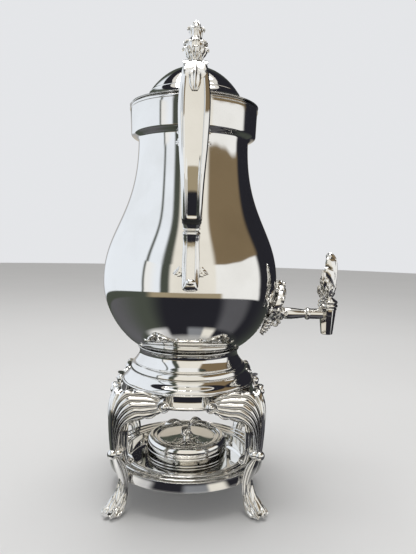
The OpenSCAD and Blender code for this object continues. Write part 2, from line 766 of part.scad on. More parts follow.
lip_z = stand_h - 0.2;
lip_r = waist_r + 1.6;
ring_r = waist_r + 8.2;
edge_r = apron_r - 1.4;
groove = 0.5;
upper_z = apron_top + 0.29 * (stand_h - apron_top);
lower_z = apron_top + 0.52 * (stand_h - apron_top);
collar_outer = flip(concat(
    [[lip_r - 1.5, lip_z], [lip_r, lip_z - 0.8], [lip_r - 1.1, lip_z - 2.3]],
    bez([waist_r, lip_z - 3.6], [waist_r - 0.8, lip_z - 8], [ring_r - 6.4, lower_z + 4],
        [ring_r - 3.9, lower_z + 0.5], 8),
    [[ring_r - 3.9 - groove, lower_z]],
    bez([ring_r - 3.6, lower_z - 0.5], [ring_r - 1, lower_z - 1.2], [ring_r, lower_z - 3.5],
        [ring_r, upper_z + 0.7], 6),
    [[ring_r - groove, upper_z]],
    bez([ring_r + 0.4, upper_z - 0.6], [ring_r + 1.8, upper_z - 4.6], [edge_r - 0.6, apron_top + 3.6],
        [edge_r, apron_top], 8)));
module stand_collar() color(silver) spun(collar_outer, stand_wall);

bead = 1.5;
apron_outer = concat(
    [[apron_r + bead - 0.5, apron_bottom], [apron_r + bead, apron_bottom + 0.7],
     [apron_r + bead, apron_bottom + 1.8], [apron_r + 0.6, apron_bottom + 3.4]],
    [[apron_r, apron_bottom + 6], [apron_r - 0.4, apron_top - 2.4], [edge_r + 0.6, apron_top - 1],
     [edge_r, apron_top]]);
leg_azimuths = [45, 135, 225, 315];
leg_screw_z = apron_bottom + 7;
leg_screw_seat = apron_r - stand_wall - 0.4;
leg_screw_len = 10;
hoop_screw_z = hoop_bottom + 3.6;
hoop_screw_seat = hoop_r - hoop_t - 0.1;
hoop_screw_len = 4.5;

// Holes along the radius at each leg
module radial_holes(r, z, r_from, r_to)
    for (a = leg_azimuths)
        rotate(a) translate([r_from, 0, z]) rotate([0, 90, 0])
            cylinder(r = r, h = r_to - r_from, $fn = 24);

module stand_apron()
    color(silver) difference() {
        spun(apron_outer, stand_wall);
        radial_holes(leg_screw_r + seat_gap, leg_screw_z, apron_r - 8, apron_r + 8);
    }

// A leg stands along +X before it is turned to its place. Stations of its
// middle line: distance from the axis, height, width and thickness
leg_line = [
    [apron_r + 5, apron_top + 0.5, 26, 4],
    [apron_r + 10.5, apron_top - 6, 32, 6],
    [knee_r - 3.5, apron_bottom - 5, 24, 6],
    [knee_r, 73, 17, 5.5],
    [knee_r + 2, 61, 14, 6],
    [knee_r + 1.8, 53, 12, 7],
    [knee_r - 2, hoop_bottom + 18.4, 9, 6],
    [hoop_r + 3.4, hoop_bottom + 10.4, 7.4, 5],
    [hoop_r + 3, hoop_bottom + 2.4, 7.4, 5],
    [hoop_r + 5.6, hoop_bottom - 7.6, 8.4, 5.6],
    [toe_r - 15, 10.4, 11.5, 7.5],
    [toe_r - 9, 4.2, 16, 10],
    [toe_r - 2, 1.6, 13, 6]
];
leg_steps = 3;
ball_r = 3.8;
ball_pt = [knee_r + 5.6, 0, 55];
volute_r = 4.9;
volute_z = apron_bottom + volute_r;
scroll_r = 4;
scroll_w = 8;
scroll_pt = [hoop_r + 1.6, scroll_w / 2, hoop_bottom + 17];
sheet_in = apron_r - 0.4;

// Leaf over the apron: columns across the azimuth, rows from top to bottom.
// Its edges are heights past the apron's own edges, at shares of its spread
leaf_cols = 14;
leaf_rows = 4;
leaf_top = [[0, 2], [0.4, 0.5], [0.8, -3.5], [1, -7]];
leaf_low = [[0, -13.5], [0.3, -10], [0.55, -7.5], [0.78, -5], [1, 1.5]];
function leaf_r(u) = apron_r + 1.2 + leaf_depth * (0.5 + 1.6 * pow(cos(90 * u), 2));
function leaf_z(u, v) =
    let (a = apron_top + lookup(abs(u), leaf_top), b = apron_bottom + lookup(abs(u), leaf_low))
    a + (b - a) * v;
function on_cyl(r, a, z) = [r * cos(a), r * sin(a), z];
leaf_side = (leaf_cols + 1) * (leaf_rows + 1);
leaf_points = concat(
    [for (i = [0:leaf_cols]) for (j = [0:leaf_rows])
        let (u = 2 * i / leaf_cols - 1, v = j / leaf_rows)
        on_cyl(leaf_r(u) - 1.8 * pow(2 * v - 1, 2), leaf_spread * u, leaf_z(u, v))],
    [for (i = [0:leaf_cols]) for (j = [0:leaf_rows])
        let (u = 2 * i / leaf_cols - 1, v = j / leaf_rows)
        on_cyl(sheet_in, leaf_spread * u, leaf_z(u, v))]);
function grid_id(i, j) = i * (leaf_rows + 1) + j;
leaf_faces = concat(
    [for (i = [0:leaf_cols - 1]) for (j = [0:leaf_rows - 1]) for (half = [0, 1])
        let (a = grid_id(i, j), b = grid_id(i + 1, j), c = grid_id(i + 1, j + 1), d = grid_id(i, j + 1))
        half == 0 ? [a, b, c] : [a, c, d]],
    [for (i = [0:leaf_cols - 1]) for (j = [0:leaf_rows - 1]) for (half = [0, 1])
        let (a = leaf_side + grid_id(i, j), b = leaf_side + grid_id(i + 1, j),
             c = leaf_side + grid_id(i + 1, j + 1), d = leaf_side + grid_id(i, j + 1))
        half == 0 ? [a, c, b] : [a, d, c]],
    [for (i = [0:leaf_cols - 1]) for (half = [0, 1])
        let (a = grid_id(i, 0), b = grid_id(i + 1, 0), c = leaf_side + b, d = leaf_side + a)
        half == 0 ? [a, d, c] : [a, c, b]],
    [for (i = [0:leaf_cols - 1]) for (half = [0, 1])
        let (a = grid_id(i, leaf_rows), b = grid_id(i + 1, leaf_rows), c = leaf_side + b,
             d = leaf_side + a)
        half == 0 ? [a, c, d] : [a, b, c]],
    [for (j = [0:leaf_rows - 1]) for (half = [0, 1])
        let (a = grid_id(0, j), b = grid_id(0, j + 1), c = leaf_side + b, d = leaf_side + a)
        half == 0 ? [a, c, d] : [a, b, c]],
    [for (j = [0:leaf_rows - 1]) for (half = [0, 1])
        let (a = grid_id(leaf_cols, j), b = grid_id(leaf_cols, j + 1), c = leaf_side + b,
             d = leaf_side + a)
        half == 0 ? [a, d, c] : [a, c, b]]);

module leg()
    color(silver) difference() {
        union() {
            rotate(90) bar(through(leg_line, leg_steps));
            polyhedron(points = leaf_points, faces = leaf_faces);
            translate(ball_pt) sphere(r = ball_r, $fn = 32);
            for (side = [-1, 1])
                rotate(side * (leaf_spread - 1.5)) translate([sheet_in, 0, volute_z])
                    rotate([0, 90, 0]) cylinder(r = volute_r, h = leaf_depth + 2.2);
            translate(scroll_pt) rotate([90, 0, 0]) cylinder(r = scroll_r, h = scroll_w);
        }
        core_of(apron_outer, seat_gap);
        core_of(collar_outer, seat_gap);
        translate([0, 0, -knee_r]) cylinder(r = 1.5 * toe_r, h = knee_r);
        translate([leg_screw_seat, 0, leg_screw_z]) rotate([0, 90, 0])
            cylinder(r = leg_screw_r + seat_gap, h = leg_screw_len + seat_gap, $fn = 24);
        translate([hoop_screw_seat, 0, hoop_screw_z]) rotate([0, 90, 0])
            cylinder(r = hoop_screw_r + seat_gap, h = hoop_screw_len + seat_gap, $fn = 24);
    }
module leg_rear_right() rotate(leg_azimuths[0]) leg();
module leg_rear_left() rotate(leg_azimuths[1]) leg();
module leg_front_left() rotate(leg_azimuths[2]) leg();
module leg_front_right() rotate(leg_azimuths[3]) leg();

// Screws with a round head inside and a shank that points outwards
module radial_screws(r, z, seat, len, head)
    for (a = leg_azimuths)
        rotate(a) translate([seat, 0, z]) rotate([0, 90, 0]) {
            cylinder(r = r, h = len, $fn = 24);
            translate([0, 0, -head]) cylinder(r = 2 * r, h = head, $fn = 32);
        }
module leg_screws()
    color(silver)
        radial_screws(leg_screw_r, leg_screw_z, leg_screw_seat, leg_screw_len, 2.2);

ring_top = hoop_bottom + hoop_h;
ring_in = pan_r + pan_t + 0.2;
ridge = 0.6;
module burner_ring()
    color(silver) difference() {
        rotate_extrude() polygon([
            [hoop_r - hoop_t, hoop_bottom], [hoop_r, hoop_bottom], [hoop_r, ring_top],
            [hoop_r - 1.2, ring_top], [hoop_r - 2, ring_top - ridge - 0.2],
            [hoop_r - 6, ring_top - ridge - 0.2], [hoop_r - 6.6, ring_top - 0.2],
            [hoop_r - 7.6, ring_top - 0.2], [hoop_r - 8.2, ring_top - ridge - 0.2],
            [ring_in + 4, ring_top - ridge - 0.2], [ring_in + 3.4, ring_top - 0.2],
            [ring_in + 2.4, ring_top - 0.2], [ring_in + 1.8, ring_top - 1],
            [ring_in, ring_top - 1], [ring_in, ring_top - 2.2],
            [hoop_r - hoop_t, ring_top - 2.2]
        ]);
        radial_holes(hoop_screw_r + seat_gap, hoop_screw_z, hoop_r - 6, hoop_r + 6);
    }
module ring_screws()
    color(silver)
        radial_screws(hoop_screw_r, hoop_screw_z, hoop_screw_seat, hoop_screw_len, 1.2);

pan_floor = ring_top - 0.2 - pan_depth;
module burner_pan()
    color(silver) rotate_extrude() polygon([
        [0, pan_floor - pan_t], [pan_r + pan_t, pan_floor - pan_t],
        [pan_r + pan_t, ring_top - 0.98], [ring_in + 1.6, ring_top - 0.98],
        [ring_in + 1.6, ring_top - 0.2], [pan_r, ring_top - 0.2], [pan_r, pan_floor],
        [0, pan_floor]
    ]);

// ---- burner --------------------------------------------------------------

drum_z = pan_floor;
shoulder_z = drum_z + drum_h;
drum_top = shoulder_z + shoulder_h;
ledge_z = drum_top - ledge_drop;
floor_z = drum_z + drum_t;
step = 0.8;
drum_outer = concat(
    [[drum_r - step - 1.2, drum_z], [drum_r - step, drum_z + 1],
     [drum_r - step, drum_z + 0.4 * drum_h], [drum_r, drum_z + 0.44 * drum_h],
     [drum_r, drum_z + 0.68 * drum_h], [drum_r - 0.7, drum_z + 0.71 * drum_h],
     [drum_r, drum_z + 0.74 * drum_h], [drum_r, shoulder_z - 0.8]],
    bez([drum_r - 0.7, shoulder_z], [drum_r - 0.7, drum_top - 1], [cover_seat_r + 4, drum_top],
        [cover_seat_r + 0.8, drum_top], 8));
module burner_bowl()
    color(silver) rotate_extrude() polygon(concat(
        [[0, drum_z]], drum_outer,
        [[cover_seat_r, drum_top - 0.6], [cover_seat_r, ledge_z], [cover_seat_r - 2, ledge_z],
         [cover_seat_r - 2, ledge_z - drum_t], [cover_seat_r + 0.6, ledge_z - drum_t],
         [drum_r - 3.2, shoulder_z - 0.4], [drum_r - step - drum_t - 0.7, shoulder_z - 2],
         [drum_r - step - drum_t - 0.7, floor_z], [0, floor_z]]));

cup_r = min(cover_seat_r + 2, drum_r - step - drum_t - 1.7);
module fuel_cup()
    color(silver) translate([0, 0, floor_z]) difference() {
        cylinder(r = cup_r, h = min(cup_h, ledge_z - floor_z - 3.4));
        translate([0, 0, cup_t]) cylinder(r = cup_r - cup_t, h = cup_h);
    }
module wick_pad()
    color("white") translate([0, 0, floor_z + cup_t])
        cylinder(r = cup_r - cup_t - lift_gap, h = pad_h);
module wick_gauze()
    color(dark) translate([0, 0, floor_z + cup_t + pad_h + seat_gap])
        cylinder(r = cup_r - cup_t - lift_gap, h = gauze_t);

cover_r = cover_seat_r - lift_gap;
cover_top = ledge_z + cover_t;
boss_z = cover_top + boss_h;
rivet_r = 1.3;
module burner_cover()
    color(silver) difference() {
        rotate_extrude() polygon([
            [0, ledge_z + 0.6], [cover_r - 9, ledge_z - 0.4], [cover_r - 4, ledge_z - 0.4],
            [cover_r - 3.2, ledge_z], [cover_r, ledge_z], [cover_r, cover_top],
            [cover_r - 2.4, cover_top + 0.9], [cover_r - 3.4, cover_top + 0.5],
            [cover_r - 4.4, cover_top - 0.4], [cover_r - 9, cover_top - 0.4],
            [cover_r - 12, cover_top + 0.5], [cover_r - 13, cover_top + 0.1],
            [boss_r + 4, cover_top + 0.7], [boss_r, cover_top + 2.2],
            [boss_r - 0.8, boss_z - 1], [boss_r - 1, boss_z], [0, boss_z]
        ]);
        translate([0, 0, ledge_z - 5]) cylinder(r = rivet_r + seat_gap, h = 30, $fn = 24);
    }

// Star: four arched strips on a small hub. Middle line of one strip
star_hub_r = 3.4;
star_turn = 20;
arm_rise = 6;
arm_mid = bez([star_hub_r - 0.6, boss_z + star_t / 2], [0.35 * star_len, boss_z + arm_rise],
    [0.75 * star_len, boss_z + 0.7 * arm_rise], [star_len, boss_z - 1.4], 10);
module star_handle()
    color(silver) difference() {
        union() {
            translate([0, 0, boss_z]) cylinder(r = star_hub_r, h = star_t);
            for (i = [0:3])
                rotate([90, 0, star_turn + 90 * i]) translate([0, 0, -star_w / 2])
                    linear_extrude(star_w)
                        polygon(concat(inset(arm_mid, star_t / 2),
                                       flip(inset(arm_mid, -star_t / 2))));
        }
        translate([0, 0, boss_z - 1]) cylinder(r = rivet_r + seat_gap, h = 10, $fn = 24);
    }
module star_rivet()
    color(silver) {
        translate([0, 0, ledge_z - 1]) cylinder(r = rivet_r, h = boss_z + star_t - ledge_z + 1);
        translate([0, 0, boss_z + star_t]) cylinder(r1 = 2.2, r2 = 1.3, h = 1.2);
    }

// ---- pieces --------------------------------------------------------------

vessel_bowl();
vessel_shell();
mouth_band();
vessel_base_disc();
vessel_base_ring();
rim_wire();
front_handle_socket();
front_upper_insulator();
front_handle_grip();
front_thumb_leaf();
front_lower_insulator();
front_handle_limb();
front_handle_pins();
rear_handle_socket();
rear_upper_insulator();
rear_handle_grip();
rear_thumb_leaf();
rear_lower_insulator();
rear_handle_limb();
rear_handle_pins();
spigot_escutcheon();
spigot_outer_gasket();
spigot_shank();
spigot_inner_gasket();
spigot_locknut();
tap_barrel();
tap_retaining_screw();
tap_stop_pin();
tap_plug();
tap_key_washer();
tap_key_handle();
tap_key_pin();
lid_dome();
lid_bezel();
lid_finial();
finial_washer();
finial_nut();
stand_collar();
stand_apron();
leg_front_left();
leg_front_right();
leg_rear_left();
leg_rear_right();
leg_screws();
burner_ring();
ring_screws();
burner_pan();
burner_bowl();
fuel_cup();
wick_pad();
wick_gauze();
burner_cover();
star_handle();
star_rivet();
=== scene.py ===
"""Looks of the coffee urn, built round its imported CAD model.

Shapes are in millimetres, which piece() turns into metres. Materials, camera, lamp,
floor and cards are in metres.
"""
import json
import math
import bmesh
import bpy
import numpy as np
from mathutils import Matrix, Vector


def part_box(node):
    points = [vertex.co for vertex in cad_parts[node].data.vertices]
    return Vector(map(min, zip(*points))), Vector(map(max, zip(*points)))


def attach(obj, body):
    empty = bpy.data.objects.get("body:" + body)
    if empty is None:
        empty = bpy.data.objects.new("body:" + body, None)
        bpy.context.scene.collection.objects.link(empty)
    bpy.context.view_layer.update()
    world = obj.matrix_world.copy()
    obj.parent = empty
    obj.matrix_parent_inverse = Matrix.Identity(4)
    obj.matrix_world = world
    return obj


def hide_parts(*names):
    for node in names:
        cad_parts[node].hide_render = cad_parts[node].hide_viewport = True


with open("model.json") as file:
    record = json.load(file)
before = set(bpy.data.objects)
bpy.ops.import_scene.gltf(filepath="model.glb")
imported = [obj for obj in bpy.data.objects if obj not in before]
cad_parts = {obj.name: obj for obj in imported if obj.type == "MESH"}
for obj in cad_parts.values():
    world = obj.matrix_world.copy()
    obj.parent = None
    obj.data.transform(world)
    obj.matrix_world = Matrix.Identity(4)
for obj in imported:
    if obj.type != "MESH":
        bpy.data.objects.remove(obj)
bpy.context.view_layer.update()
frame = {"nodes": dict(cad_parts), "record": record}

MM = 0.001


def box_mm(node):
    """Lowest and highest corner of a CAD node, in millimetres."""
    low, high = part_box(node)
    return low / MM, high / MM


# ---- materials -------------------------------------------------------------


class Nodes:
    """The shader nodes of a new material or world."""

    def __init__(self, block):
        block.use_nodes = True
        self.block = block
        self.tree = block.node_tree

    def feed(self, socket, value):
        """Links an output to a socket, or sets the socket to a number or a colour."""
        if isinstance(value, bpy.types.NodeSocket):
            self.tree.links.new(value, socket)
        else:
            socket.default_value = (*value, 1) if socket.type == "RGBA" else value

    def add(self, kind, feeds=(), **properties):
        """The outputs of a new node; feeds gives its inputs by name or by place."""
        node = self.tree.nodes.new(kind)
        for key, value in properties.items():
            setattr(node, key, value)
        for key, value in dict(feeds).items():
            self.feed(node.inputs[key], value)
        return node.outputs

    def noise(self, scale, detail, stretch=(1, 1, 1)):
        """Noise in the object's own coordinates, scale in features per metre."""
        place = self.add("ShaderNodeTexCoord")["Object"]
        place = self.add("ShaderNodeMapping", {"Vector": place, "Scale": stretch})["Vector"]
        feeds = {"Vector": place, "Scale": scale, "Detail": detail}
        return self.add("ShaderNodeTexNoise", feeds)["Fac"]

    def spread(self, value, low, high, start=0.3, end=0.7):
        """The value between start and end, stretched to run from low to high."""
        feeds = {"Value": value, "From Min": start, "From Max": end, "To Min": low, "To Max": high}
        return self.add("ShaderNodeMapRange", feeds)["Result"]

    def blend(self, factor, first, second):
        """The first colour where factor is 0 and the second where it is 1."""
        return self.add("ShaderNodeMix", {0: factor, 6: first, 7: second}, data_type="RGBA")[2]

    def compute(self, operation, *values):
        """The result of one operation on outputs and numbers."""
        return self.add("ShaderNodeMath", enumerate(values), operation=operation)["Value"]

    def ramp(self, place, stops, interpolation="LINEAR"):
        """Colours blended between stops, each a place from 0 to 1 and a colour."""
        node = self.tree.nodes.new("ShaderNodeValToRGB")
        self.feed(node.inputs["Fac"], place)
        node.color_ramp.interpolation = interpolation
        marks = node.color_ramp.elements
        while len(marks) < len(stops):
            marks.new(0.5)
        for mark, (position, colour) in zip(marks, stops):
            mark.position = position
            mark.color = (*colour, 1)
        return node.outputs["Color"]

    def dress(self, colour, rough, metallic=0.0, relief=None, depth=0.0):
        """Feeds the material's own shader; relief rises by depth, in metres."""
        feeds = {"Base Color": colour, "Roughness": rough, "Metallic": metallic}
        if relief is not None:
            bump = self.add("ShaderNodeBump", {"Height": relief, "Distance": depth})
            feeds["Normal"] = bump["Normal"]
        shader = self.tree.nodes["Principled BSDF"]
        for key, value in feeds.items():
            self.feed(shader.inputs[key], value)
        return self.block


def new_material(name):
    """The nodes of a new material."""
    return Nodes(bpy.data.materials.new(name))


SILVER, PATINA, HAZE = (0.90, 0.89, 0.865), (0.20, 0.19, 0.175), (0.80, 0.785, 0.75)


def spun_silver():
    """Mirror-polished plate with faint polishing haze."""
    nodes = new_material("spun_silver")
    haze = nodes.noise(22, 5)
    tone = nodes.blend(nodes.spread(haze, 0, 1, 0.45, 0.8), SILVER, HAZE)
    return nodes.dress(tone, nodes.spread(haze, 0.025, 0.075), 1.0, nodes.noise(90, 2), 0.000006)


def cast_silver():
    """Polished casting, darker where the cloth doesn't reach."""
    nodes = new_material("cast_silver")
    hollow = nodes.spread(nodes.add("ShaderNodeNewGeometry")["Pointiness"], 1, 0, 0.435, 0.495)
    tone = nodes.blend(hollow, SILVER, PATINA)
    rough = nodes.spread(nodes.noise(160, 4), 0.08, 0.19)
    return nodes.dress(tone, rough, 1.0, nodes.noise(420, 3), 0.00004)


def plain_metal(name, colour, dull, rough):
    """Turned or woven metal of the small inner pieces."""
    nodes = new_material(name)
    grain = nodes.noise(500, 3, (1, 1, 12))
    tone = nodes.blend(grain, colour, dull)
    return nodes.dress(tone, nodes.spread(grain, rough, rough + 0.15), 1.0)


def black_composition():
    """Satin black of the heat-break rings."""
    nodes = new_material("black_composition")
    grain = nodes.noise(350, 5)
    tone = nodes.blend(grain, (0.012, 0.012, 0.013), (0.03, 0.03, 0.031))
    return nodes.dress(tone, nodes.spread(grain, 0.3, 0.45), 0.0, grain, 0.00005)


def soft_material(name, light, dark, scale, depth):
    """Rubber or packed cotton."""
    nodes = new_material(name)
    grain = nodes.noise(scale, 8)
    return nodes.dress(nodes.blend(grain, dark, light), 0.85, 0.0, grain, depth)


spun = spun_silver()
cast = cast_silver()
black = black_composition()
steel = plain_metal("turned_steel", (0.5, 0.5, 0.51), (0.36, 0.36, 0.37), 0.25)
brass = plain_metal("brass_wire", (0.72, 0.55, 0.28), (0.45, 0.32, 0.14), 0.35)
rubber = soft_material("rubber", (0.06, 0.06, 0.06), (0.03, 0.03, 0.03), 700, 0.00005)
cotton = soft_material("cotton", (0.92, 0.90, 0.85), (0.72, 0.70, 0.64), 900, 0.0004)

# ---- lines and outlines, in millimetres ------------------------------------


def cubic(t, a, b, c, d):
    """Places t, from 0 to 1, on the cubic curve from a to d, steered by b and c."""
    a, b, c, d = (np.asarray(p, float) for p in (a, b, c, d))
    return (1 - t) ** 3 * a + 3 * (1 - t) ** 2 * t * b + 3 * (1 - t) * t**2 * c + t**3 * d


def chain(*runs):
    """Runs of points joined into one, without the doubled ends."""
    points = [np.atleast_2d(np.asarray(runs[0], float))]
    for run in runs[1:]:
        run = np.atleast_2d(np.asarray(run, float))
        same = np.linalg.norm(run[0] - points[-1][-1]) < 1e-6
        points.append(run[1:] if same else run)
    return np.concatenate(points)


def curve(points, *steps):
    """Cubic curves in a row: every third point lies on the line, and the rest steer it."""
    return chain(*(cubic(np.linspace(0, 1, count + 1)[:, None], *points[3 * i:3 * i + 4])
                   for i, count in enumerate(steps)))


def unit(v):
    """Rows scaled to length 1."""
    return v / np.maximum(np.linalg.norm(v, axis=-1, keepdims=True), 1e-12)


def directions(points):
    """Direction of a line of points at each of them."""
    points = np.asarray(points, float)
    ends = np.vstack([points[1:], points[-1:]])
    starts = np.vstack([points[:1], points[:-1]])
    return unit(ends - starts)


def left_of(way):
    """Flat directions turned a quarter turn to the left."""
    return np.stack([-way[:, 1], way[:, 0]], -1)


def upright(line):
    """Flat points (x, z) as points in the plane Y = 0."""
    return np.stack([line[:, 0], 0 * line[:, 0], line[:, 1]], -1)


def inset(points, distance):
    """A flat line of points moved to the left of its own direction."""
    return points + distance * left_of(directions(points))


def soften(points, radius, steps=4, bend=22):
    """A closed outline with each corner sharper than bend degrees rounded."""
    points = np.asarray(points, float)
    rounded = []
    for i, here in enumerate(points):
        back, ahead = points[i - 1] - here, points[(i + 1) % len(points)] - here
        back_len, ahead_len = np.linalg.norm(back), np.linalg.norm(ahead)
        if min(back_len, ahead_len) < 1e-9:
            continue
        turn = math.degrees(math.acos(np.clip(-back @ ahead / back_len / ahead_len, -1, 1)))
        if turn < bend or here[0] < 1e-6:
            rounded.append(here)
            continue
        cut = min(radius, 0.45 * back_len, 0.45 * ahead_len)
        a, b = here + back / back_len * cut, here + ahead / ahead_len * cut
        for t in np.linspace(0, 1, steps + 1):
            rounded.append((1 - t) ** 2 * a + 2 * (1 - t) * t * here + t * t * b)
    return np.array(rounded)


def oval(width, thickness, steps=28, power=1.0):
    """A ring of points round an oval; a power under 1 squares it."""
    angle = np.linspace(0, 2 * math.pi, steps, endpoint=False)
    across, up = np.cos(angle), np.sin(angle)
    return np.stack([width / 2 * np.sign(across) * np.abs(across) ** power,
                     thickness / 2 * np.sign(up) * np.abs(up) ** power], -1)


def profile(table):
    """A smooth function through the (place, value) pairs of table."""
    places, values = (np.array(column, float) for column in zip(*table))
    slopes = np.gradient(values, places)

    def at(x):
        x = np.clip(np.asarray(x, float), places[0], places[-1])
        i = np.clip(np.searchsorted(places, x, side="right") - 1, 0, len(places) - 2)
        gap = places[i + 1] - places[i]
        t = (x - places[i]) / gap
        return ((1 + 2 * t) * (1 - t) ** 2 * values[i] + t * (1 - t) ** 2 * gap * slopes[i]
                + t * t * (3 - 2 * t) * values[i + 1] + t * t * (t - 1) * gap * slopes[i + 1])
    return at


def smooth_path(points, steps=8):
    """A smooth line through a few points, with steps between neighbours."""
    points = np.asarray(points, float)
    length = np.concatenate([[0], np.cumsum(np.linalg.norm(np.diff(points, axis=0), axis=1))])
    at = np.linspace(0, length[-1], steps * (len(points) - 1) + 1)
    return np.stack([profile(list(zip(length, column)))(at) for column in points.T], -1)


def turned(degrees):
    """A function that turns points round Z."""
    c, s = math.cos(math.radians(degrees)), math.sin(math.radians(degrees))
    matrix = np.array([[c, s, 0], [-s, c, 0], [0, 0, 1]])
    return lambda points: points @ matrix


# ---- solids ----------------------------------------------------------------

SPIN_STEPS = 180
UPWARD, ALONG_Y = np.array([0, 0, 1.0]), np.array([0, 1.0, 0])


def grid_faces(rows, cols, wrap_rows=False, wrap_cols=False):
    """Four-sided faces over a grid of rows x cols points."""
    i = np.arange(rows if wrap_rows else rows - 1)
    j = np.arange(cols if wrap_cols else cols - 1)
    i, j = (a.ravel() for a in np.meshgrid(i, j, indexing="ij"))
    i2, j2 = (i + 1) % rows, (j + 1) % cols
    return np.stack([i * cols + j, i2 * cols + j, i2 * cols + j2, i * cols + j2], -1).tolist()


def end_caps(rows, cols):
    """The first and the last ring of a grid as two faces."""
    return [list(range(cols)), list(range((rows - 1) * cols, rows * cols))]


class Shape:
    """Points and faces gathered into one mesh."""

    def __init__(self):
        self.points = []
        self.faces = []
        self.count = 0

    def add(self, points, faces):
        """Takes in points, and faces that count from the first of them."""
        points = np.asarray(points, float).reshape(-1, 3)
        self.faces += [[index + self.count for index in face] for face in faces]
        self.points.append(points)
        self.count += len(points)
        return self

    def join(self, other):
        """Takes in the points and faces of another shape."""
        return self.add(np.concatenate(other.points), other.faces)

    def moved(self, function):
        """The same shape with every point passed through function."""
        self.points = [function(np.concatenate(self.points))]
        return self


def spin(outline, steps=SPIN_STEPS):
    """A closed outline of (radius, height) spun round Z."""
    outline = np.asarray(outline, float)
    angle = np.linspace(0, 2 * math.pi, steps, endpoint=False)[:, None]
    radius, height = outline[:, 0][None], outline[:, 1][None]
    points = np.stack([radius * np.cos(angle), radius * np.sin(angle), height + 0 * angle], -1)
    return Shape().add(points, grid_faces(steps, len(outline), True, True))


def shell(outer, thickness, corner=0.3):
    """Closed outline of a spun wall whose outside rises along outer."""
    return soften(np.concatenate([outer, inset(outer, thickness)[::-1]]), corner)


def sweep(shape, centres, sides, ups, sections):
    """A tube through centres; each section is a ring of (side, up) points."""
    sides = np.broadcast_to(sides, centres.shape)
    sections = np.asarray(sections, float)
    points = (centres[:, None] + sections[..., :1] * sides[:, None]
              + sections[..., 1:] * ups[:, None])
    rows, cols = sections.shape[:2]
    return shape.add(points, grid_faces(rows, cols, False, True) + end_caps(rows, cols))


def sheet(shape, front, back):
    """A closed skin between two grids of points of one size."""
    rows, cols = front.shape[:2]
    edge = ([i * cols for i in range(rows)]
            + [(rows - 1) * cols + j for j in range(1, cols)]
            + [i * cols + cols - 1 for i in range(rows - 2, -1, -1)]
            + list(range(cols - 2, 0, -1)))
    size = rows * cols
    faces = grid_faces(rows, cols)
    rim = [[a, b, b + size, a + size] for a, b in zip(edge, edge[1:] + edge[:1])]
    behind = [[index + size for index in reversed(face)] for face in faces]
    points = np.concatenate([front.reshape(-1, 3), back.reshape(-1, 3)])
    return shape.add(points, faces + rim + behind)


def ball(shape, centre, radius, squeeze=(1, 1, 1), steps=24):
    """A round bead, narrower where squeeze is under 1."""
    rise = np.linspace(-math.pi / 2, math.pi / 2, steps // 2 + 1)[:, None]
    angle = np.linspace(0, 2 * math.pi, steps, endpoint=False)[None]
    points = np.stack([np.cos(rise) * np.cos(angle), np.cos(rise) * np.sin(angle),
                       np.sin(rise) + 0 * angle], -1)
    points = points * radius * np.asarray(squeeze) + np.asarray(centre)
    return shape.add(points, grid_faces(steps // 2 + 1, steps, False, True))


def flat_bar(shape, points, widths, thicks, section, steps=8):
    """A bar through (x, z) points in the plane Y = 0; section(width, thickness) is its ring."""
    path = smooth_path(points, steps)
    place = np.linspace(0, 1, len(path))
    rings = np.stack([section(width, thick) for width, thick in
                      zip(profile(widths)(place), profile(thicks)(place))])
    return sweep(shape, upright(path), ALONG_Y, upright(left_of(directions(path))), rings)


def leaf(shape, spine, sides, normals, widths, thickness, lobes=5, rows=60, cols=36, notch=0.4,
         slant=0.16, push=0.12, rib=0.35, veins=0.5, cup=0.0):
    """A closed acanthus leaf along a spine.

    Its edge is cut into lobes that lean towards the tip, and each lobe swells
    between sharp valleys that run in to a raised midrib.
    """
    normals = np.asarray(normals, float)
    along = np.linspace(0, 1, rows + 1)
    place = np.linspace(0, 1, len(spine))
    mid, side, normal = (np.stack([np.interp(along, place, column) for column in
                                   np.broadcast_to(line, spine.shape).T], -1)
                         for line in (spine, sides, normals))
    side, normal = unit(side), unit(normal)
    way = directions(mid)
    t, u = along[:, None], np.linspace(-1, 1, cols + 1)[None, :]
    # lobe is 1 on each lobe and 0 between two, and fade takes the notches out at the tip.
    lobe = np.abs(np.sin(math.pi * lobes * (t - slant * np.abs(u)) + 0.5)) ** 0.55
    fade = np.clip((1 - t) / 0.12, 0, 1)
    half = profile(widths)(along)[:, None] / 2
    across = u * half * (1 - notch * u * u * (1 - lobe) * fade)
    length = np.linalg.norm(np.diff(mid, axis=0), axis=1).sum()
    ahead = push * length * u * u * (lobe - 0.4) * fade * np.minimum(1, 4 * t)
    rise = (rib * np.exp(-(u / 0.13) ** 2) + veins * lobe * np.abs(u) ** 0.5
            * (1 - 0.55 * u**4) + cup * half * u * u)
    rise = rise * np.minimum(1, half / (0.25 * half.max()))
    front = (mid[:, None] + across[..., None] * side[:, None]
             + ahead[..., None] * way[:, None] + rise[..., None] * normal[:, None])
    behind = normals if normals.ndim == 1 else normal[:, None]
    return sheet(shape, front, front - thickness * behind)


def frond(shape, points, facing, widths, thickness, side=None, steps=8, **look):
    """A leaf along a smooth line through a few points, its front towards facing."""
    spine = smooth_path(points, steps)
    if side is None:
        side = unit(np.cross(directions(spine), facing))
    return leaf(shape, spine, side, facing, widths, thickness, **look)


def volute(shape, centre, across, up, start_r, end_r, turns, start_t, end_t, start=0.0,
           width=1.0, hand=1):
    """A tapering spiral bar in the plane of across and up; width is off the plane."""
    centre, across, up = (np.asarray(a, float) for a in (centre, across, up))
    s = np.linspace(0, 1, 46)
    angle = start + hand * 2 * math.pi * turns * s
    radius = start_r + (end_r - start_r) * s**0.8
    out = np.cos(angle)[:, None] * across + np.sin(angle)[:, None] * up
    thick = start_t + (end_t - start_t) * s
    rings = np.stack([oval(width * w, w, 12) for w in thick])
    return sweep(shape, centre + radius[:, None] * out, np.cross(across, up), out, rings)


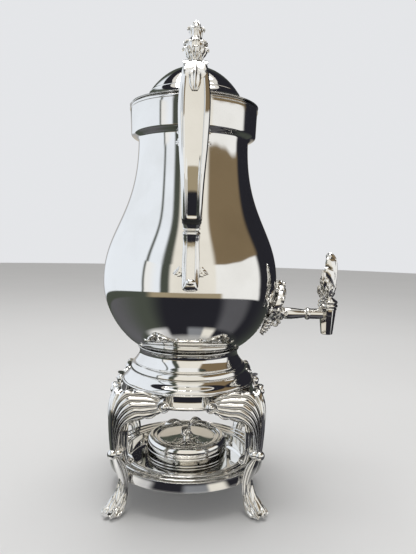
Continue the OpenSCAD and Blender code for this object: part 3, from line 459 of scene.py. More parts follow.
def new_object(name, data):
    """A new object in the scene."""
    obj = bpy.data.objects.new(name, data)
    bpy.context.scene.collection.objects.link(obj)
    return obj


def piece(name, shape, body, nodes, material=spun, slot="silver_plate", sharp=40):
    """Makes a shape into an object that rides on a CAD body in place of CAD nodes."""
    mesh = bpy.data.meshes.new(name)
    mesh.from_pydata((np.concatenate(shape.points) * MM).tolist(), [], shape.faces)
    work = bmesh.new()
    work.from_mesh(mesh)
    bmesh.ops.remove_doubles(work, verts=work.verts, dist=2e-7)
    bmesh.ops.dissolve_degenerate(work, dist=1e-7, edges=work.edges)
    bmesh.ops.recalc_face_normals(work, faces=work.faces)
    work.to_mesh(mesh)
    work.free()
    mesh.shade_smooth()
    mesh.set_sharp_from_angle(angle=math.radians(sharp))
    mesh.materials.append(material)
    obj = new_object(name, mesh)
    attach(obj, body)
    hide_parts(*nodes)


def spun_piece(name, outline, body, node, corner, steps=SPIN_STEPS, sharp=40):
    """A piece of plate spun from an outline whose corners are rounded."""
    piece(name, spin(soften(outline, corner), steps), body, [node], sharp=sharp)


# ---- vessel ----------------------------------------------------------------

SEAT_Z, MOUTH_Z = box_mm("vessel_bowl")[0].z, box_mm("mouth_band")[1].z
BELLY_R = box_mm("vessel_shell")[1].y
WALL, MOUTH_R, RIM_H = 1.2, 58.5, 2.4
STEP_H, BAND_H = 6.8, 21.6
BELLY_Z, BAND_Z = SEAT_Z + 60.8, MOUTH_Z - BAND_H
NECK_R, NECK_Z = 50.9, BAND_Z - STEP_H
seat_pt, belly_pt = np.array([45.4, SEAT_Z]), np.array([BELLY_R, BELLY_Z])
neck_pt, band_pt = np.array([NECK_R, NECK_Z]), np.array([57.8, BAND_Z])

vessel_outer = chain(
    curve([seat_pt, seat_pt + [15.4, 5.4], belly_pt - [0, 27.8], belly_pt, belly_pt + [0, 48.5],
           neck_pt - [0, 69], neck_pt, neck_pt + [0, 0.6 * STEP_H], band_pt - [0, 0.6 * STEP_H],
           band_pt], 40, 60, 16),
    [[MOUTH_R, MOUTH_Z - RIM_H], [MOUTH_R, MOUTH_Z]])


def vessel_radius(z):
    """Outside radius of the vessel at height z."""
    return np.interp(z, vessel_outer[:, 1], vessel_outer[:, 0])


def on_vessel(azimuth):
    """A function that wraps points (across, height, proud) on the vessel at an azimuth."""
    def wrap(points):
        radius = vessel_radius(points[:, 1])
        angle = math.radians(azimuth) + points[:, 0] / radius
        reach = radius + points[:, 2]
        return np.stack([reach * np.cos(angle), reach * np.sin(angle), points[:, 1]], -1)
    return wrap


def make_vessel():
    """Body from its seat to the mouth, and the rolled wire on the mouth."""
    piece("urn_body", spin(shell(vessel_outer, WALL)), "vessel",
          ["vessel_bowl", "vessel_shell", "mouth_band"])
    out, inside, crest = MOUTH_R + 0.8, MOUTH_R - WALL - 0.4, MOUTH_Z + 1.3 * RIM_H
    wire = curve([[out, MOUTH_Z], [out, crest], [inside, crest],
                  [inside, MOUTH_Z + 0.4 * RIM_H]], 16)
    spun_piece("mouth_wire", chain([[inside, MOUTH_Z]], wire), "vessel", "rim_wire", 0.2)


make_vessel()

# ---- lid -------------------------------------------------------------------

lid_low, lid_high = box_mm("lid_dome")
LID_Z, LID_TOP, LID_R, LID_T = lid_low.z, lid_high.z, lid_high.x, 1.0
TIP_H = box_mm("lid_finial")[1].z - LID_TOP
cove_pt = np.array([41.8, LID_Z + 12.4])


def make_lid():
    """Dome with a cove, a crease and a crown, closed at its foot by a round rim."""
    foot = [LID_R - 0.7, LID_Z + 1.3]
    cove = curve([foot, [LID_R - 8, LID_Z + 2.2], cove_pt + [3.4, -5.6], cove_pt], 26)
    crease = [cove_pt + [0.05, 0.5], cove_pt + [-0.55, 1.0]]
    crown = curve([crease[1], cove_pt + [-5.6, 9.6], [23.2, LID_TOP - 1], [11.2, LID_TOP]], 36)
    outer = chain(cove, crease, crown, [[3, LID_TOP]])
    inner = inset(outer, LID_T)[::-1]
    inner = inner[inner[:, 1] > LID_Z + 0.9]
    rim = curve([[53, LID_Z], [LID_R + 0.2, LID_Z - 0.2], [LID_R + 0.6, LID_Z + 1.9], foot], 12)
    outline = np.concatenate([outer, inner, rim[:-1]])
    outline[:, 0] = np.minimum(outline[:, 0], LID_R)
    spun_piece("lid_cover", outline, "lid", "lid_dome", 0.15, sharp=28)


def ring_leaf(shape, mid, azimuth, widths, twist, **look):
    """A leaf that stands in a half plane of the axis, turning by twist on its way up."""
    angle = np.radians(azimuth + twist * np.linspace(0, 1, len(mid)))
    out = np.stack([np.cos(angle), np.sin(angle), 0 * angle], -1)
    side = np.stack([-np.sin(angle), np.cos(angle), 0 * angle], -1)
    way = directions(mid)
    leaf(shape, mid[:, :1] * out + mid[:, 1:] * UPWARD, side,
         way[:, 1:] * out - way[:, :1] * UPWARD, widths, 0.7, lobes=2, rows=26, cols=14, **look)


def make_finial():
    """Stem with two bead rings, a cup of curling petals, a crown and a bud."""
    stem = chain(
        [[0, 0], [10.8, 0]], curve([[10.8, 0], [11.6, 1], [11.2, 2.2], [9.8, 2.4]], 8),
        curve([[9.4, 2.7], [10.4, 3.3], [10, 4.6], [8.6, 4.8]], 8),
        curve([[8.4, 5], [5, 6], [4.2, 7.6], [4.6, 9.4], [5.4, 13], [8.4, 15], [8.8, 19], [9, 23],
               [7.6, 26], [5.4, 29], [4.4, 31], [5.2, 33], [5, 36], [4.6, 39], [3, 40],
               [2.4, 42]], 10, 14, 12, 8, 8),
        [[0, 42]])
    shape = spin(soften(stem, 0.2), 96)
    petal = curve([[5.4, 8.6], [8.2, 12], [9.2, 17.6], [8.9, 22.2], [8.9, 24.2], [10.8, 24.6],
                   [10.6, 22.6]], 18, 10)
    under = curve([[5, 9.4], [8.4, 12.4], [9.9, 14.4], [10.6, 17.2], [11, 18.6], [12, 18.4],
                   [11.8, 16.9]], 14, 8)
    crown = curve([[5.2, 28], [5.6, 31], [5.6, 34], [6.3, 36], [6.8, 37.2], [7.7, 36.6],
                   [7.4, 35.2]], 12, 8)
    bud = curve([[3.6, 36], [4.4, 39.4], [3.6, 42.4], [1.0, TIP_H - 0.9]], 16)
    for count, first, twist, mid, widths, look in (
            (8, 22.5, 0, petal, [(0, 2.4), (0.25, 5.2), (0.55, 7.6), (0.8, 6.6), (1, 2.6)],
             {"veins": 0.6, "rib": 0.7, "cup": -0.25, "notch": 0.2, "push": 0.05}),
            (8, 0, 0, under, [(0, 2), (0.4, 5.8), (0.75, 5.4), (1, 2)],
             {"veins": 0.5, "rib": 0.6, "cup": -0.25, "notch": 0.2, "push": 0.05}),
            (6, 10, 0, crown, [(0, 2.6), (0.5, 5), (0.8, 4.6), (1, 1.8)],
             {"veins": 0.4, "rib": 0.4, "cup": -0.25, "notch": 0.16, "push": 0.04}),
            (4, 30, 34, bud, [(0, 3.4), (0.4, 4.2), (0.8, 2.4), (1, 0.9)],
             {"veins": 0.3, "rib": 0.5})):
        for i in range(count):
            ring_leaf(shape, mid, 360 / count * i + first, widths, twist, **look)
    ball(shape, [0, 0, TIP_H - 1.5], 1.45)
    shape.join(spin([[0, -8.2], [2.5, -8.2], [2.5, 1], [0, 1]], 40))
    piece("finial", shape.moved(lambda points: points + LID_TOP * UPWARD), "lid",
          ["lid_finial"], cast, sharp=60)


make_lid()
make_finial()

# ---- handles ---------------------------------------------------------------

GRIP_W, GRIP_T, BREAK_T, GRIP_REACH, LIMB_PULL = 24.0, 10.0, 4.5, 46, 0.26
ROOT_Z, TOP_Z, BREAK_Z = NECK_Z - 7, MOUTH_Z + 11.6, BELLY_Z + 55.2
grip_r = MOUTH_R + GRIP_REACH
crown_pt = np.array([MOUTH_R + 0.7 * GRIP_REACH, TOP_Z])
break_pt = np.array([vessel_radius(BREAK_Z) + 20, BREAK_Z])
foot_pt = np.array([BELLY_R + 3.6, BELLY_Z + 9])
curl_end = np.array([BELLY_R + 13, BELLY_Z + 7])
grip_pull = np.array([grip_r + 3.1, BREAK_Z + 37.7])
break_dir = break_pt - grip_pull
handle_curves = [
    [[NECK_R - 4, ROOT_Z], [NECK_R + 27, ROOT_Z], crown_pt - [15, 0], crown_pt],
    [crown_pt, [grip_r + 5.2, TOP_Z], grip_pull, break_pt],
    [break_pt, break_pt + LIMB_PULL * break_dir, foot_pt + [-5.4, 14], foot_pt],
    [foot_pt, foot_pt + [3.4, -8.8], curl_end + [1, -8], curl_end],
]
# Stations along the handle: the whole numbers are the ends of the four curves.
UPPER_S, PANEL_TOP_S, LOWER_S, END_S = 0.64, 1.6, 2.0, 4.0


def handle_at(s):
    """Points (distance from the axis, height) on the handle's middle line."""
    s = np.clip(np.atleast_1d(np.asarray(s, float)), 0, END_S)
    found = np.zeros((len(s), 2))
    for i, run in enumerate(handle_curves):
        here = (s >= i) & ((s < i + 1) | (i == 3))
        found[here] = cubic((s[here] - i)[:, None], *run)
    return found


def handle_way(s):
    """Direction of the handle's middle line at its stations."""
    s = np.atleast_1d(np.asarray(s, float))
    return unit(handle_at(s + 0.005) - handle_at(s - 0.005))


speed = float(np.linalg.norm(handle_at(UPPER_S + 0.01) - handle_at(UPPER_S - 0.01))) / 0.02
upper_half = BREAK_T / 2 / speed
lower_s1 = LOWER_S - BREAK_T / 2 / (3 * float(np.linalg.norm(break_dir)))
lower_s2 = LOWER_S + BREAK_T / 2 / (3 * LIMB_PULL * float(np.linalg.norm(break_dir)))
handle_width = profile([(0, 0.75), (0.3, 0.6), (0.6, 0.54), (0.8, 0.6), (1, 0.7), (1.2, 0.86),
                        (1.4, 1), (1.6, 0.92), (1.8, 0.74), (2, 0.65), (2.12, 0.6), (2.24, 0.5),
                        (2.3, 0.56), (2.4, 0.54), (2.7, 0.58), (3, 0.57), (3.5, 0.52), (4, 0.36)])
handle_thick = profile([(0, 1.3), (0.3, 1.1), (0.6, 1), (1, 0.86), (1.4, 0.94), (1.8, 1.04),
                        (2, 1), (2.12, 0.86), (2.24, 0.66), (2.3, 0.78), (2.4, 0.65), (3, 0.56),
                        (3.5, 0.44), (4, 0.3)])


def bar_ring(width, thick, face=0.36, rim=0.0, dish=0.0, sunk=0.0, panel=0.19):
    """Ring of (side, up) points: flat outer face with bevels and a rounded inside.

    rim raises a line along each edge of the face, dish hollows the face, and
    sunk lets a panel into its middle.
    """
    across = np.linspace(-face, face, 41)
    near = np.clip((np.abs(across) - face + 0.06) / 0.06, 0, 1)
    up = 0.5 * thick + rim * np.sin(math.pi * near) - dish * np.cos(math.pi * across / face / 2)
    up = up - sunk / (1 + np.exp((np.abs(across) - panel) * 120))
    outer = np.stack([across * width, up], -1)
    half = curve(np.array([[face, 0.5], [0.44, 0.42], [0.5, 0.3], [0.5, 0.02], [0.5, -0.36],
                           [0.3, -0.5], [0, -0.5]]) * [width, thick], 8, 10)[1:]
    left = half[:-1][::-1] * [-1, 1]
    return np.concatenate([outer, half, left])


def towards_viewer(line):
    """Flat points (distance from the axis, height) as points in the plane X = 0, towards -Y."""
    return np.stack([0 * line[:, 0], -line[:, 0], line[:, 1]], -1)


def handle_bar(s, ring):
    """A bar along stations s; ring(place, width, thickness) is its section."""
    ups = towards_viewer(left_of(handle_way(s)))
    rings = np.stack([ring(at, GRIP_W * handle_width(at), GRIP_T * handle_thick(at)) for at in s])
    return sweep(Shape(), towards_viewer(handle_at(s)), [1.0, 0, 0], ups, rings)


def grip_shape():
    """Grip with ridged edges and a sunken panel with a round top."""
    s = np.linspace(UPPER_S + upper_half, lower_s1, 190)

    def ring(place, width, thick):
        edge = min(1, min(place - s[0], s[-1] - place) / 0.02)
        top = np.clip((place - PANEL_TOP_S) / 0.035, 0, 1)
        panel = 0.24 * math.sqrt(max(0.0, 1 - (1 - top) ** 2)) if top > 0 else 0.0
        low = np.clip((s[-1] - 0.012 - place) / 0.004, 0, 1)
        depth = 0.9 * np.clip((place - PANEL_TOP_S) / 0.16, 0, 1) ** 1.5
        return bar_ring(width, thick, rim=0.45 * edge, dish=0.25 * edge, panel=panel,
                        sunk=depth * low if panel else 0.0)
    return handle_bar(s, ring)


def break_shape(s1, s2):
    """Black ring with a bead at each side."""
    def ring(place, width, thick):
        swell = 0.7 * abs(math.cos(math.pi * (place - s1) / (s2 - s1))) - 0.3
        return oval(width + swell, thick + swell, 40, 0.75)
    return handle_bar(np.linspace(s1, s2, 17), ring)


def socket_shape():
    """Arm out of the neck, with a spray of leaves where it meets the neck."""
    s = np.linspace(0.09, UPPER_S - upper_half, 60)

    def ring(place, width, thick):
        swell = 1.2 * math.sin(math.pi * np.clip((place - s[-1] + 0.035) / 0.035, 0, 1))
        return bar_ring(width + swell, thick + swell, rim=0.4, dish=0.2)
    spray = Shape()
    run = np.linspace(0, 1, 12)
    for turn, length, width in ((0, 15, 11), (48, 18, 12), (-48, 18, 12), (96, 15, 9),
                                (-96, 15, 9), (150, 13, 10), (-150, 13, 10)):
        x, y = math.sin(math.radians(turn)), math.cos(math.radians(turn))
        spine = np.stack([x * length * run, np.minimum(ROOT_Z + y * length * run, NECK_Z + 3),
                          2.4 * np.sin(math.pi * run) + 0.8 * run + 0.3], -1)
        leaf(spray, spine, [y, -x, 0], UPWARD, [(0, 5), (0.4, width), (0.75, 0.7 * width),
                                                (1, 1.5)],
             1.4, lobes=4, rows=30, cols=20, veins=0.6, rib=0.5)
    return handle_bar(s, ring).join(spray.moved(on_vessel(-90)))


def thumb_leaf_shape():
    """Acanthus leaf over the crown of the grip, its tip curled up."""
    s = np.linspace(0.74, 1.34, 40)
    lift = 0.5 * GRIP_T * handle_thick(s) + 0.5 + 1.2 * np.linspace(0, 1, 40) ** 6
    normal = left_of(handle_way(s))
    return leaf(Shape(), towards_viewer(handle_at(s) + normal * lift[:, None]), [1.0, 0, 0],
                towards_viewer(normal), [(0, 9), (0.2, 15.4), (0.5, 19), (0.8, 15), (1, 4)], 1.2,
                lobes=4, veins=0.9, rib=0.8, notch=0.36, cup=-0.1, push=0.08)


def limb_shape():
    """Cuff, knuckle and flat-faced limb that ends in a small scroll and two leaves."""
    def ring(place, width, thick):
        swell = sum(size * math.exp(-((place - at) / reach) ** 2)
                    for size, at, reach in ((1.3, 2.19, 0.018), (1.6, 2.27, 0.022),
                                            (-0.9, 2.23, 0.012)))
        return bar_ring(width + swell, thick + swell, face=0.3, rim=0.35, dish=0.2)
    shape = handle_bar(np.linspace(lower_s2, END_S, 170), ring)
    end = handle_at(END_S)[0]
    ball(shape, [0, -end[0] + 0.6, end[1] - 0.5], 3.1, (1.35, 1, 1))
    spray = Shape()
    run = np.linspace(0, 1, 12)
    for side in (-1, 1):
        spine = np.stack([side * (5 + 9 * run), BELLY_Z + 12 + 7 * run - 6 * run**3,
                          0.6 + 1.6 * np.sin(math.pi * run)], -1)
        leaf(spray, spine, [-0.5 * side, 0.86, 0], UPWARD, [(0, 7), (0.4, 9), (0.8, 5), (1, 1.2)],
             1.2, lobes=3, rows=26, cols=16, veins=0.6, rib=0.4)
    return shape.join(spray.moved(on_vessel(-90)))


def make_handles():
    """The front handle towards -Y and its twin, turned half round."""
    silver, insulator = "silver_plate", "black_insulator"
    for name, build, material, slot, node in (
            ("socket", socket_shape, cast, silver, "handle_socket"),
            ("upper_break", lambda: break_shape(UPPER_S - upper_half, UPPER_S + upper_half),
             black, insulator, "upper_insulator"),
            ("grip", grip_shape, spun, silver, "handle_grip"),
            ("thumb_leaf", thumb_leaf_shape, cast, silver, "thumb_leaf"),
            ("lower_break", lambda: break_shape(lower_s1, lower_s2),
             black, insulator, "lower_insulator"),
            ("limb", limb_shape, cast, silver, "handle_limb")):
        for side, turn in (("front", 0), ("rear", 180)):
            piece(f"{side}_{name}_cast", build().moved(turned(turn)), "vessel",
                  [f"{side}_{node}"], material, slot, 35)


make_handles()

# ---- stand -----------------------------------------------------------------

WAIST_R, STAND_WALL = 46.9, 1.2
APRON_TOP, APRON_LOW, APRON_R = 107.0, 93.5, 63.2
EDGE_R = APRON_R - 1.4
HOOP_R, HOOP_LOW, HOOP_TOP, PAN_R, PAN_T = 74.0, 26.6, 35.4, 56.2, 1.2
RING_IN, PAN_Z = PAN_R + PAN_T + 0.2, HOOP_TOP - 14.2
KNEE_R, TOE_R, LEAF_TURN = 82.5, 99.0, 29.0
LEG_TURNS = {"rear_right": 45, "rear_left": 135, "front_left": 225, "front_right": 315}


def make_collar():
    """Lip, waist and two stepped rings, and the apron band under them."""
    lip_z, lip_r, ring_r = SEAT_Z - 0.2, WAIST_R + 1.6, WAIST_R + 8.2
    rise = SEAT_Z - APRON_TOP
    upper, lower = APRON_TOP + 0.29 * rise, APRON_TOP + 0.52 * rise
    outer = chain(
        [[lip_r - 1.5, lip_z]],
        curve([[lip_r - 0.5, lip_z], [lip_r, lip_z - 0.1], [lip_r, lip_z - 1.6],
               [lip_r - 1.1, lip_z - 2.3]], 8),
        curve([[WAIST_R, lip_z - 3.6], [WAIST_R - 0.8, lip_z - 8], [ring_r - 6.4, lower + 4],
               [ring_r - 3.9, lower + 0.5]], 20),
        [[ring_r - 4.4, lower]],
        curve([[ring_r - 3.6, lower - 0.5], [ring_r - 1, lower - 1.2], [ring_r, lower - 3.5],
               [ring_r, upper + 0.7]], 14),
        [[ring_r - 0.5, upper]],
        curve([[ring_r + 0.4, upper - 0.6], [ring_r + 1.8, upper - 4.6],
               [EDGE_R - 0.6, APRON_TOP + 3.6], [EDGE_R, APRON_TOP]], 18))[::-1]
    piece("collar", spin(shell(outer, STAND_WALL, 0.25)), "stand", ["stand_collar"])
    bead = APRON_R + 1.5
    band = chain(
        curve([[bead - 1.2, APRON_LOW], [bead, APRON_LOW], [bead + 0.1, APRON_LOW + 2.3],
               [APRON_R + 0.4, APRON_LOW + 2.7]], 10),
        curve([[APRON_R + 0.1, APRON_LOW + 3.2], [APRON_R - 1, APRON_LOW + 6],
               [APRON_R - 1, APRON_TOP - 5], [APRON_R - 0.5, APRON_TOP - 2.6]], 12),
        curve([[EDGE_R + 1, APRON_TOP - 2.2], [EDGE_R + 1.3, APRON_TOP - 1],
               [EDGE_R + 0.9, APRON_TOP - 0.3], [EDGE_R, APRON_TOP - 0.1]], 8))
    piece("apron_band", spin(shell(band, STAND_WALL, 0.2)), "stand", ["stand_apron"])


def make_hoop():
    """Burner ring with two ridges on its flat top, and the pan let into it."""
    crest, dip = HOOP_TOP - 0.2, HOOP_TOP - 0.8
    rim = [[-1.6, HOOP_LOW], [0, HOOP_LOW], [0, HOOP_TOP], [-1.2, HOOP_TOP], [-2, dip],
           [-6, dip], [-6.6, crest], [-7.6, crest], [-8.2, dip]]
    seat = [[4, dip], [3.4, crest], [2.4, crest], [1.8, HOOP_TOP - 1], [0, HOOP_TOP - 1],
            [0, HOOP_TOP - 2.2]]
    outline = [[HOOP_R + x, z] for x, z in rim] + [[RING_IN + x, z] for x, z in seat]
    outline.append([HOOP_R - 1.6, HOOP_TOP - 2.2])
    spun_piece("hoop", outline, "stand", "burner_ring", 0.35)
    wall, flange, under = PAN_R + PAN_T, RING_IN + 1.6, HOOP_TOP - 0.98
    outline = [[0, PAN_Z - PAN_T], [wall, PAN_Z - PAN_T], [wall, under], [flange, under],
               [flange, crest], [PAN_R, crest], [PAN_R, PAN_Z + 2], [PAN_R - 2, PAN_Z],
               [0, PAN_Z]]
    spun_piece("pan", outline, "stand", "burner_pan", 0.4)


def round_axis(degrees, radius, z):
    """A point at an azimuth on a cylinder about the axis."""
    angle = math.radians(degrees)
    return np.array([radius * math.cos(angle), radius * math.sin(angle), z])


def fluted(flutes, depth):
    """A section for flat_bar: a flattened ring with round ribs on its two side faces."""
    def section(width, thick):
        ring = oval(thick, width, 48, 0.8)
        across = ring[:, 0] / (thick / 2)
        ribs = depth * (np.abs(np.cos(math.pi * flutes * across / 2)) ** 0.7 - 0.6)
        ring[:, 1] += np.sign(ring[:, 1]) * ribs * np.clip((1 - np.abs(across)) * 6, 0, 1)
        return ring[:, ::-1]
    return section


def frond_sheet(shape, side):
    """Half of a leg's leaf: ribs run from the volute on the apron out and down to the ball."""
    top = smooth_path([round_axis(27, 67, 102.4), round_axis(20, 69.4, 107.4),
                       round_axis(11, 73.4, 110.2), [80, 5.4, 109.8], [86, 2.6, 105],
                       [89.6, 1, 96], [90.8, 0.4, 84], [90.4, 0, 71], [89.2, 0, 59]], 10)
    low = smooth_path([round_axis(27, 67, 94.6), round_axis(23, 67.6, 89.8),
                       round_axis(16.5, 69.2, 86.2), [74.6, 13, 85], [81.6, 9, 81.6],
                       [85.6, 5.6, 74], [86.8, 4.2, 66], [87.2, 3.4, 60], [88, 2.4, 56.4]], 10)
    b = np.linspace(0, 1, len(top))[:, None, None]
    a = np.linspace(0, 1, 71)[None, :, None]
    flat = (1 - a) * top[:, None] + a * low[:, None]
    across = unit(np.gradient(flat, axis=1))
    out = unit(np.cross(across, np.gradient(flat, axis=0)))
    out = out * np.sign((out * np.array([1.0, 0.35, 0.25])).sum(-1, keepdims=True))
    bulge = (1.4 + 4.6 * np.exp(-((b - 0.36) / 0.2) ** 2)) * np.clip(b / 0.1, 0.2, 1)
    depth = 0.5 + 1.7 * np.sin(math.pi * np.clip(b * 1.02, 0, 1)) ** 0.7
    ribs = np.abs(np.sin(math.pi * 5 * a**0.9)) ** 0.75 - 0.5
    # edge and crest mark the upper half of the low and the top border, which end in lobes.
    lobes = np.abs(np.sin(math.pi * (5.5 * b + 0.3))) ** 0.5
    edge = np.clip((a - 0.82) / 0.18, 0, 1) ** 2 * np.clip(1 - (b - 0.46) / 0.1, 0, 1)
    crest = np.clip((0.2 - a) / 0.2, 0, 1) ** 2 * np.clip(1 - (b - 0.44) / 0.1, 0, 1)
    front = flat + (bulge * np.sin(math.pi * a) ** 0.8 + depth * ribs) * out
    front = front + 1.8 * (edge - crest) * (lobes - 0.6) * across
    front = front + (1.4 * edge + 2.2 * crest) * lobes * out
    mirror = np.array([1, side, 1.0])
    sheet(shape, front * mirror, (flat - 1.5 * out) * mirror)


def foot_leaves(shape):
    """One veined leaf down the middle of the foot and two down each of its sides."""
    look = {"rows": 44, "cols": 18, "veins": 1.0, "rib": 1.1, "notch": 0.36, "push": 0.1,
            "cup": -0.5}
    frond(shape, [[80.6, 0, 35], [81.8, 0, 26], [85.6, 0, 17.4], [91.4, 0, 11.6],
                  [96.6, 0, 7.4], [97.6, 0, 4.2]], [0.6, 0, 0.8],
          [(0, 3), (0.3, 7), (0.6, 9), (0.85, 7.4), (1, 2.4)], 2.2, ALONG_Y, 7, lobes=4, **look)
    for side in (1, -1):
        for path, widths in (
                ([(78.4, 3.4, 30), (79.6, 4.6, 20), (84, 6, 11.6), (90.4, 6.8, 6.6), (95, 6.6, 3.4)],
                 [(0, 3), (0.35, 6.4), (0.7, 7.4), (1, 2)]),
                ([(76.8, 4.2, 19), (78.4, 5.6, 11), (83, 7, 5.4), (88.6, 8, 2.6)],
                 [(0, 2.4), (0.4, 5.4), (0.75, 5.6), (1, 1.6)])):
            frond(shape, [(x, side * y, z) for x, y, z in path], [0.3, 0.75 * side, 0.6], widths,
                  2.2, [0.7, 0, 0.7], 7, lobes=3, **look)


def leg_shape():
    """One leg along +X: leaf shoulder, inner scroll, ball, fluted C and leafy toe."""
    shape = Shape()
    for side in (1, -1):
        frond_sheet(shape, side)
        turn = side * LEAF_TURN
        centre = round_axis(turn, 70.2, 98.4)
        volute(shape, centre, round_axis(turn + 90, 1, 0), UPWARD, 5.6, 2.2, 1.2, 3.2, 2,
               width=2.2, start=math.pi / 2, hand=side)
        ball(shape, centre + 1.6 * round_axis(turn, 1, 0), 2.9)
    flat_bar(shape, [(80, 108.6), (86, 105.4), (89.6, 97), (90.8, 84), (90.4, 70), (89.2, 59)],
             [(0, 3.2), (1, 4.6)], [(0, 2.8), (1, 2.8)], lambda w, t: oval(w, t, 16, 0.9))
    flat_bar(shape, [(72.6, 78), (71, 80.4), (73, 83), (76.6, 82), (78.6, 76), (78.6, 66),
                     (78.4, 57), (77.4, 50), (75.6, 45.6), (72.4, 44.4), (70.6, 46.6), (72, 49)],
             [(0, 11), (0.3, 13), (0.6, 12), (1, 11)],
             [(0, 2.6), (0.22, 5), (0.4, 6.8), (0.62, 6), (0.8, 4.2), (1, 2.6)], fluted(2, 1.8))
    ball(shape, [73.4, 0, 79.4], 2.3, (1, 3, 1))
    ball(shape, [72.9, 0, 47.1], 2.1, (1, 3, 1))
    flat_bar(shape, [(79.6, 88), (83.4, 78), (84.6, 66), (85, 56)],
             [(0, 10), (0.5, 7), (1, 5)], [(0, 5), (1, 5)], lambda w, t: oval(w, t, 20, 0.8))
    ball(shape, [KNEE_R + 6.4, 0, 55], 4.4)
    ball(shape, [KNEE_R + 1.6, 0, 55.6], 5.2, (1, 1.3, 0.8))
    flat_bar(shape, [(86.8, 52.4), (83, 46.4), (79.2, 38.4), (76.8, 29), (76.6, 20), (78.6, 12),
                     (82.6, 6.4), (88.6, 3.6), (94, 2.8)],
             [(0, 8), (0.15, 9.4), (0.4, 8.6), (0.6, 9), (0.8, 11), (0.92, 12), (1, 8)],
             [(0, 3.6), (0.12, 7.4), (0.5, 7.6), (0.8, 7.6), (0.93, 5.6), (1, 2.6)],
             fluted(3, 1.4))
    foot_leaves(shape)

    def settle(points):
        """Keeps the foot on the table and inside the toe's reach."""
        points = points.copy()
        points[:, 2] = np.maximum(points[:, 2], 0.02)
        reach = np.hypot(points[:, 0], points[:, 1])
        points[:, :2] *= np.minimum(1, (TOE_R - 0.6) / reach)[:, None]
        return points
    return shape.moved(settle)


make_collar()
make_hoop()
for leg, leg_turn in LEG_TURNS.items():
    piece(f"{leg}_leg_cast", leg_shape().moved(turned(leg_turn)), "stand", [f"leg_{leg}"], cast,
          sharp=50)

# ---- burner ----------------------------------------------------------------

DRUM_R, DRUM_H, SHOULDER_H, COVER_SEAT_R = 40.4, 22.0, 6.0, 32.4
SHOULDER_Z = PAN_Z + DRUM_H
DRUM_TOP = SHOULDER_Z + SHOULDER_H
LEDGE_Z = DRUM_TOP - 3
COVER_TOP = LEDGE_Z + 1.1
BOSS_Z = COVER_TOP + 8.5


def make_drum():
    """Tapering drum with three fine lines, a round shoulder and the cover's ledge."""
    wall = [[0, PAN_Z], [DRUM_R - 2, PAN_Z], [DRUM_R - 0.2, PAN_Z + 1.6]]
    for line in (9.6, 12.2, 18.4):
        at = DRUM_R - 0.1 * line
        wall += [[at + 0.04, PAN_Z + line - 0.4], [at - 0.2, PAN_Z + line],
                 [at - 0.04, PAN_Z + line + 0.4]]
    seat = COVER_SEAT_R
    outline = chain(
        wall,
        curve([[DRUM_R - 2.1, SHOULDER_Z - 0.8], [DRUM_R - 2.4, DRUM_TOP - 1.6],
               [seat + 4.4, DRUM_TOP], [seat + 0.8, DRUM_TOP]], 16),
        [[seat, DRUM_TOP - 0.6], [seat, LEDGE_Z], [seat - 2, LEDGE_Z], [seat - 2, LEDGE_Z - 1],
         [seat + 0.6, LEDGE_Z - 1], [DRUM_R - 3.2, SHOULDER_Z - 0.4],
         [DRUM_R - 2.7, SHOULDER_Z - 2], [DRUM_R - 2.7, PAN_Z + 1], [0, PAN_Z + 1]])
    spun_piece("drum", outline, "burner", "burner_bowl", 0.3)


def make_cover():
    """Cover with a rolled edge, a groove and a low dome that rises to the boss."""
    r = COVER_SEAT_R - 0.3
    outline = chain(
        [[1.4, -0.5], [r - 9, -1.5], [r - 4, -1.5], [r - 3.2, -1.1], [r, -1.1]],
        curve([[r, 0], [r - 0.3, 1.2], [r - 2.4, 1.4], [r - 3.6, 0.1]], 8),
        [[r - 4.4, -0.3], [r - 5.6, -0.3], [r - 6, 0]],
        curve([[r - 7, 0.1], [r - 12, 0.5], [r - 16, 0.7], [r - 20, 1.2]], 14),
        curve([[10, 1.4], [6, 1.7], [4.6, 2.4], [4, 3.8]], 8),
        [[3.4, 5], [3.9, 6.9], [3, 8.5], [1.4, 8.5]]) + [0, COVER_TOP]
    spun_piece("cover", outline, "burner_cover", "burner_cover", 0.25)


def make_star():
    """Four arched blades, broad and a little twisted at their ends, on a small disc."""
    disc = [[1.4, BOSS_Z], [3.6, BOSS_Z], [3.6, BOSS_Z + 1], [1.4, BOSS_Z + 1]]
    star = spin(soften(disc, 0.25), 48)
    for turn, length, lean in ((170, 22, -34), (-8, 25.4, 30), (45, 21, 34), (-97, 24, 8)):
        run = curve([[2.6, BOSS_Z + 0.5], [0.3 * length, BOSS_Z + 6.8],
                     [0.72 * length, BOSS_Z + 6.4], [length, BOSS_Z + 0.4]], 24)
        normal = upright(left_of(directions(run)))
        twist = np.radians(np.linspace(0.3 * lean, lean, len(run)))[:, None]
        wide = profile([(0, 2.6), (0.25, 3.8), (0.6, 6.6), (0.84, 5), (1, 1)])
        rings = np.stack([oval(w, 1.0, 20, 0.8) for w in wide(np.linspace(0, 1, len(run)))])
        blade = sweep(Shape(), upright(run), np.cos(twist) * ALONG_Y + np.sin(twist) * normal,
                      np.cos(twist) * normal - np.sin(twist) * ALONG_Y, rings)
        star.join(blade.moved(turned(turn)))
    piece("star", star, "burner_cover", ["star_handle"])
    rivet = [[0, LEDGE_Z - 1], [1.3, LEDGE_Z - 1], [1.3, BOSS_Z + 1], [2.3, BOSS_Z + 1],
             [2, BOSS_Z + 1.9], [1, BOSS_Z + 2.3], [0, BOSS_Z + 2.3]]
    spun_piece("rivet", rivet, "burner_cover", "star_rivet", 0.3, 48)


make_drum()
make_cover()
make_star()

# ---- spigot ----------------------------------------------------------------

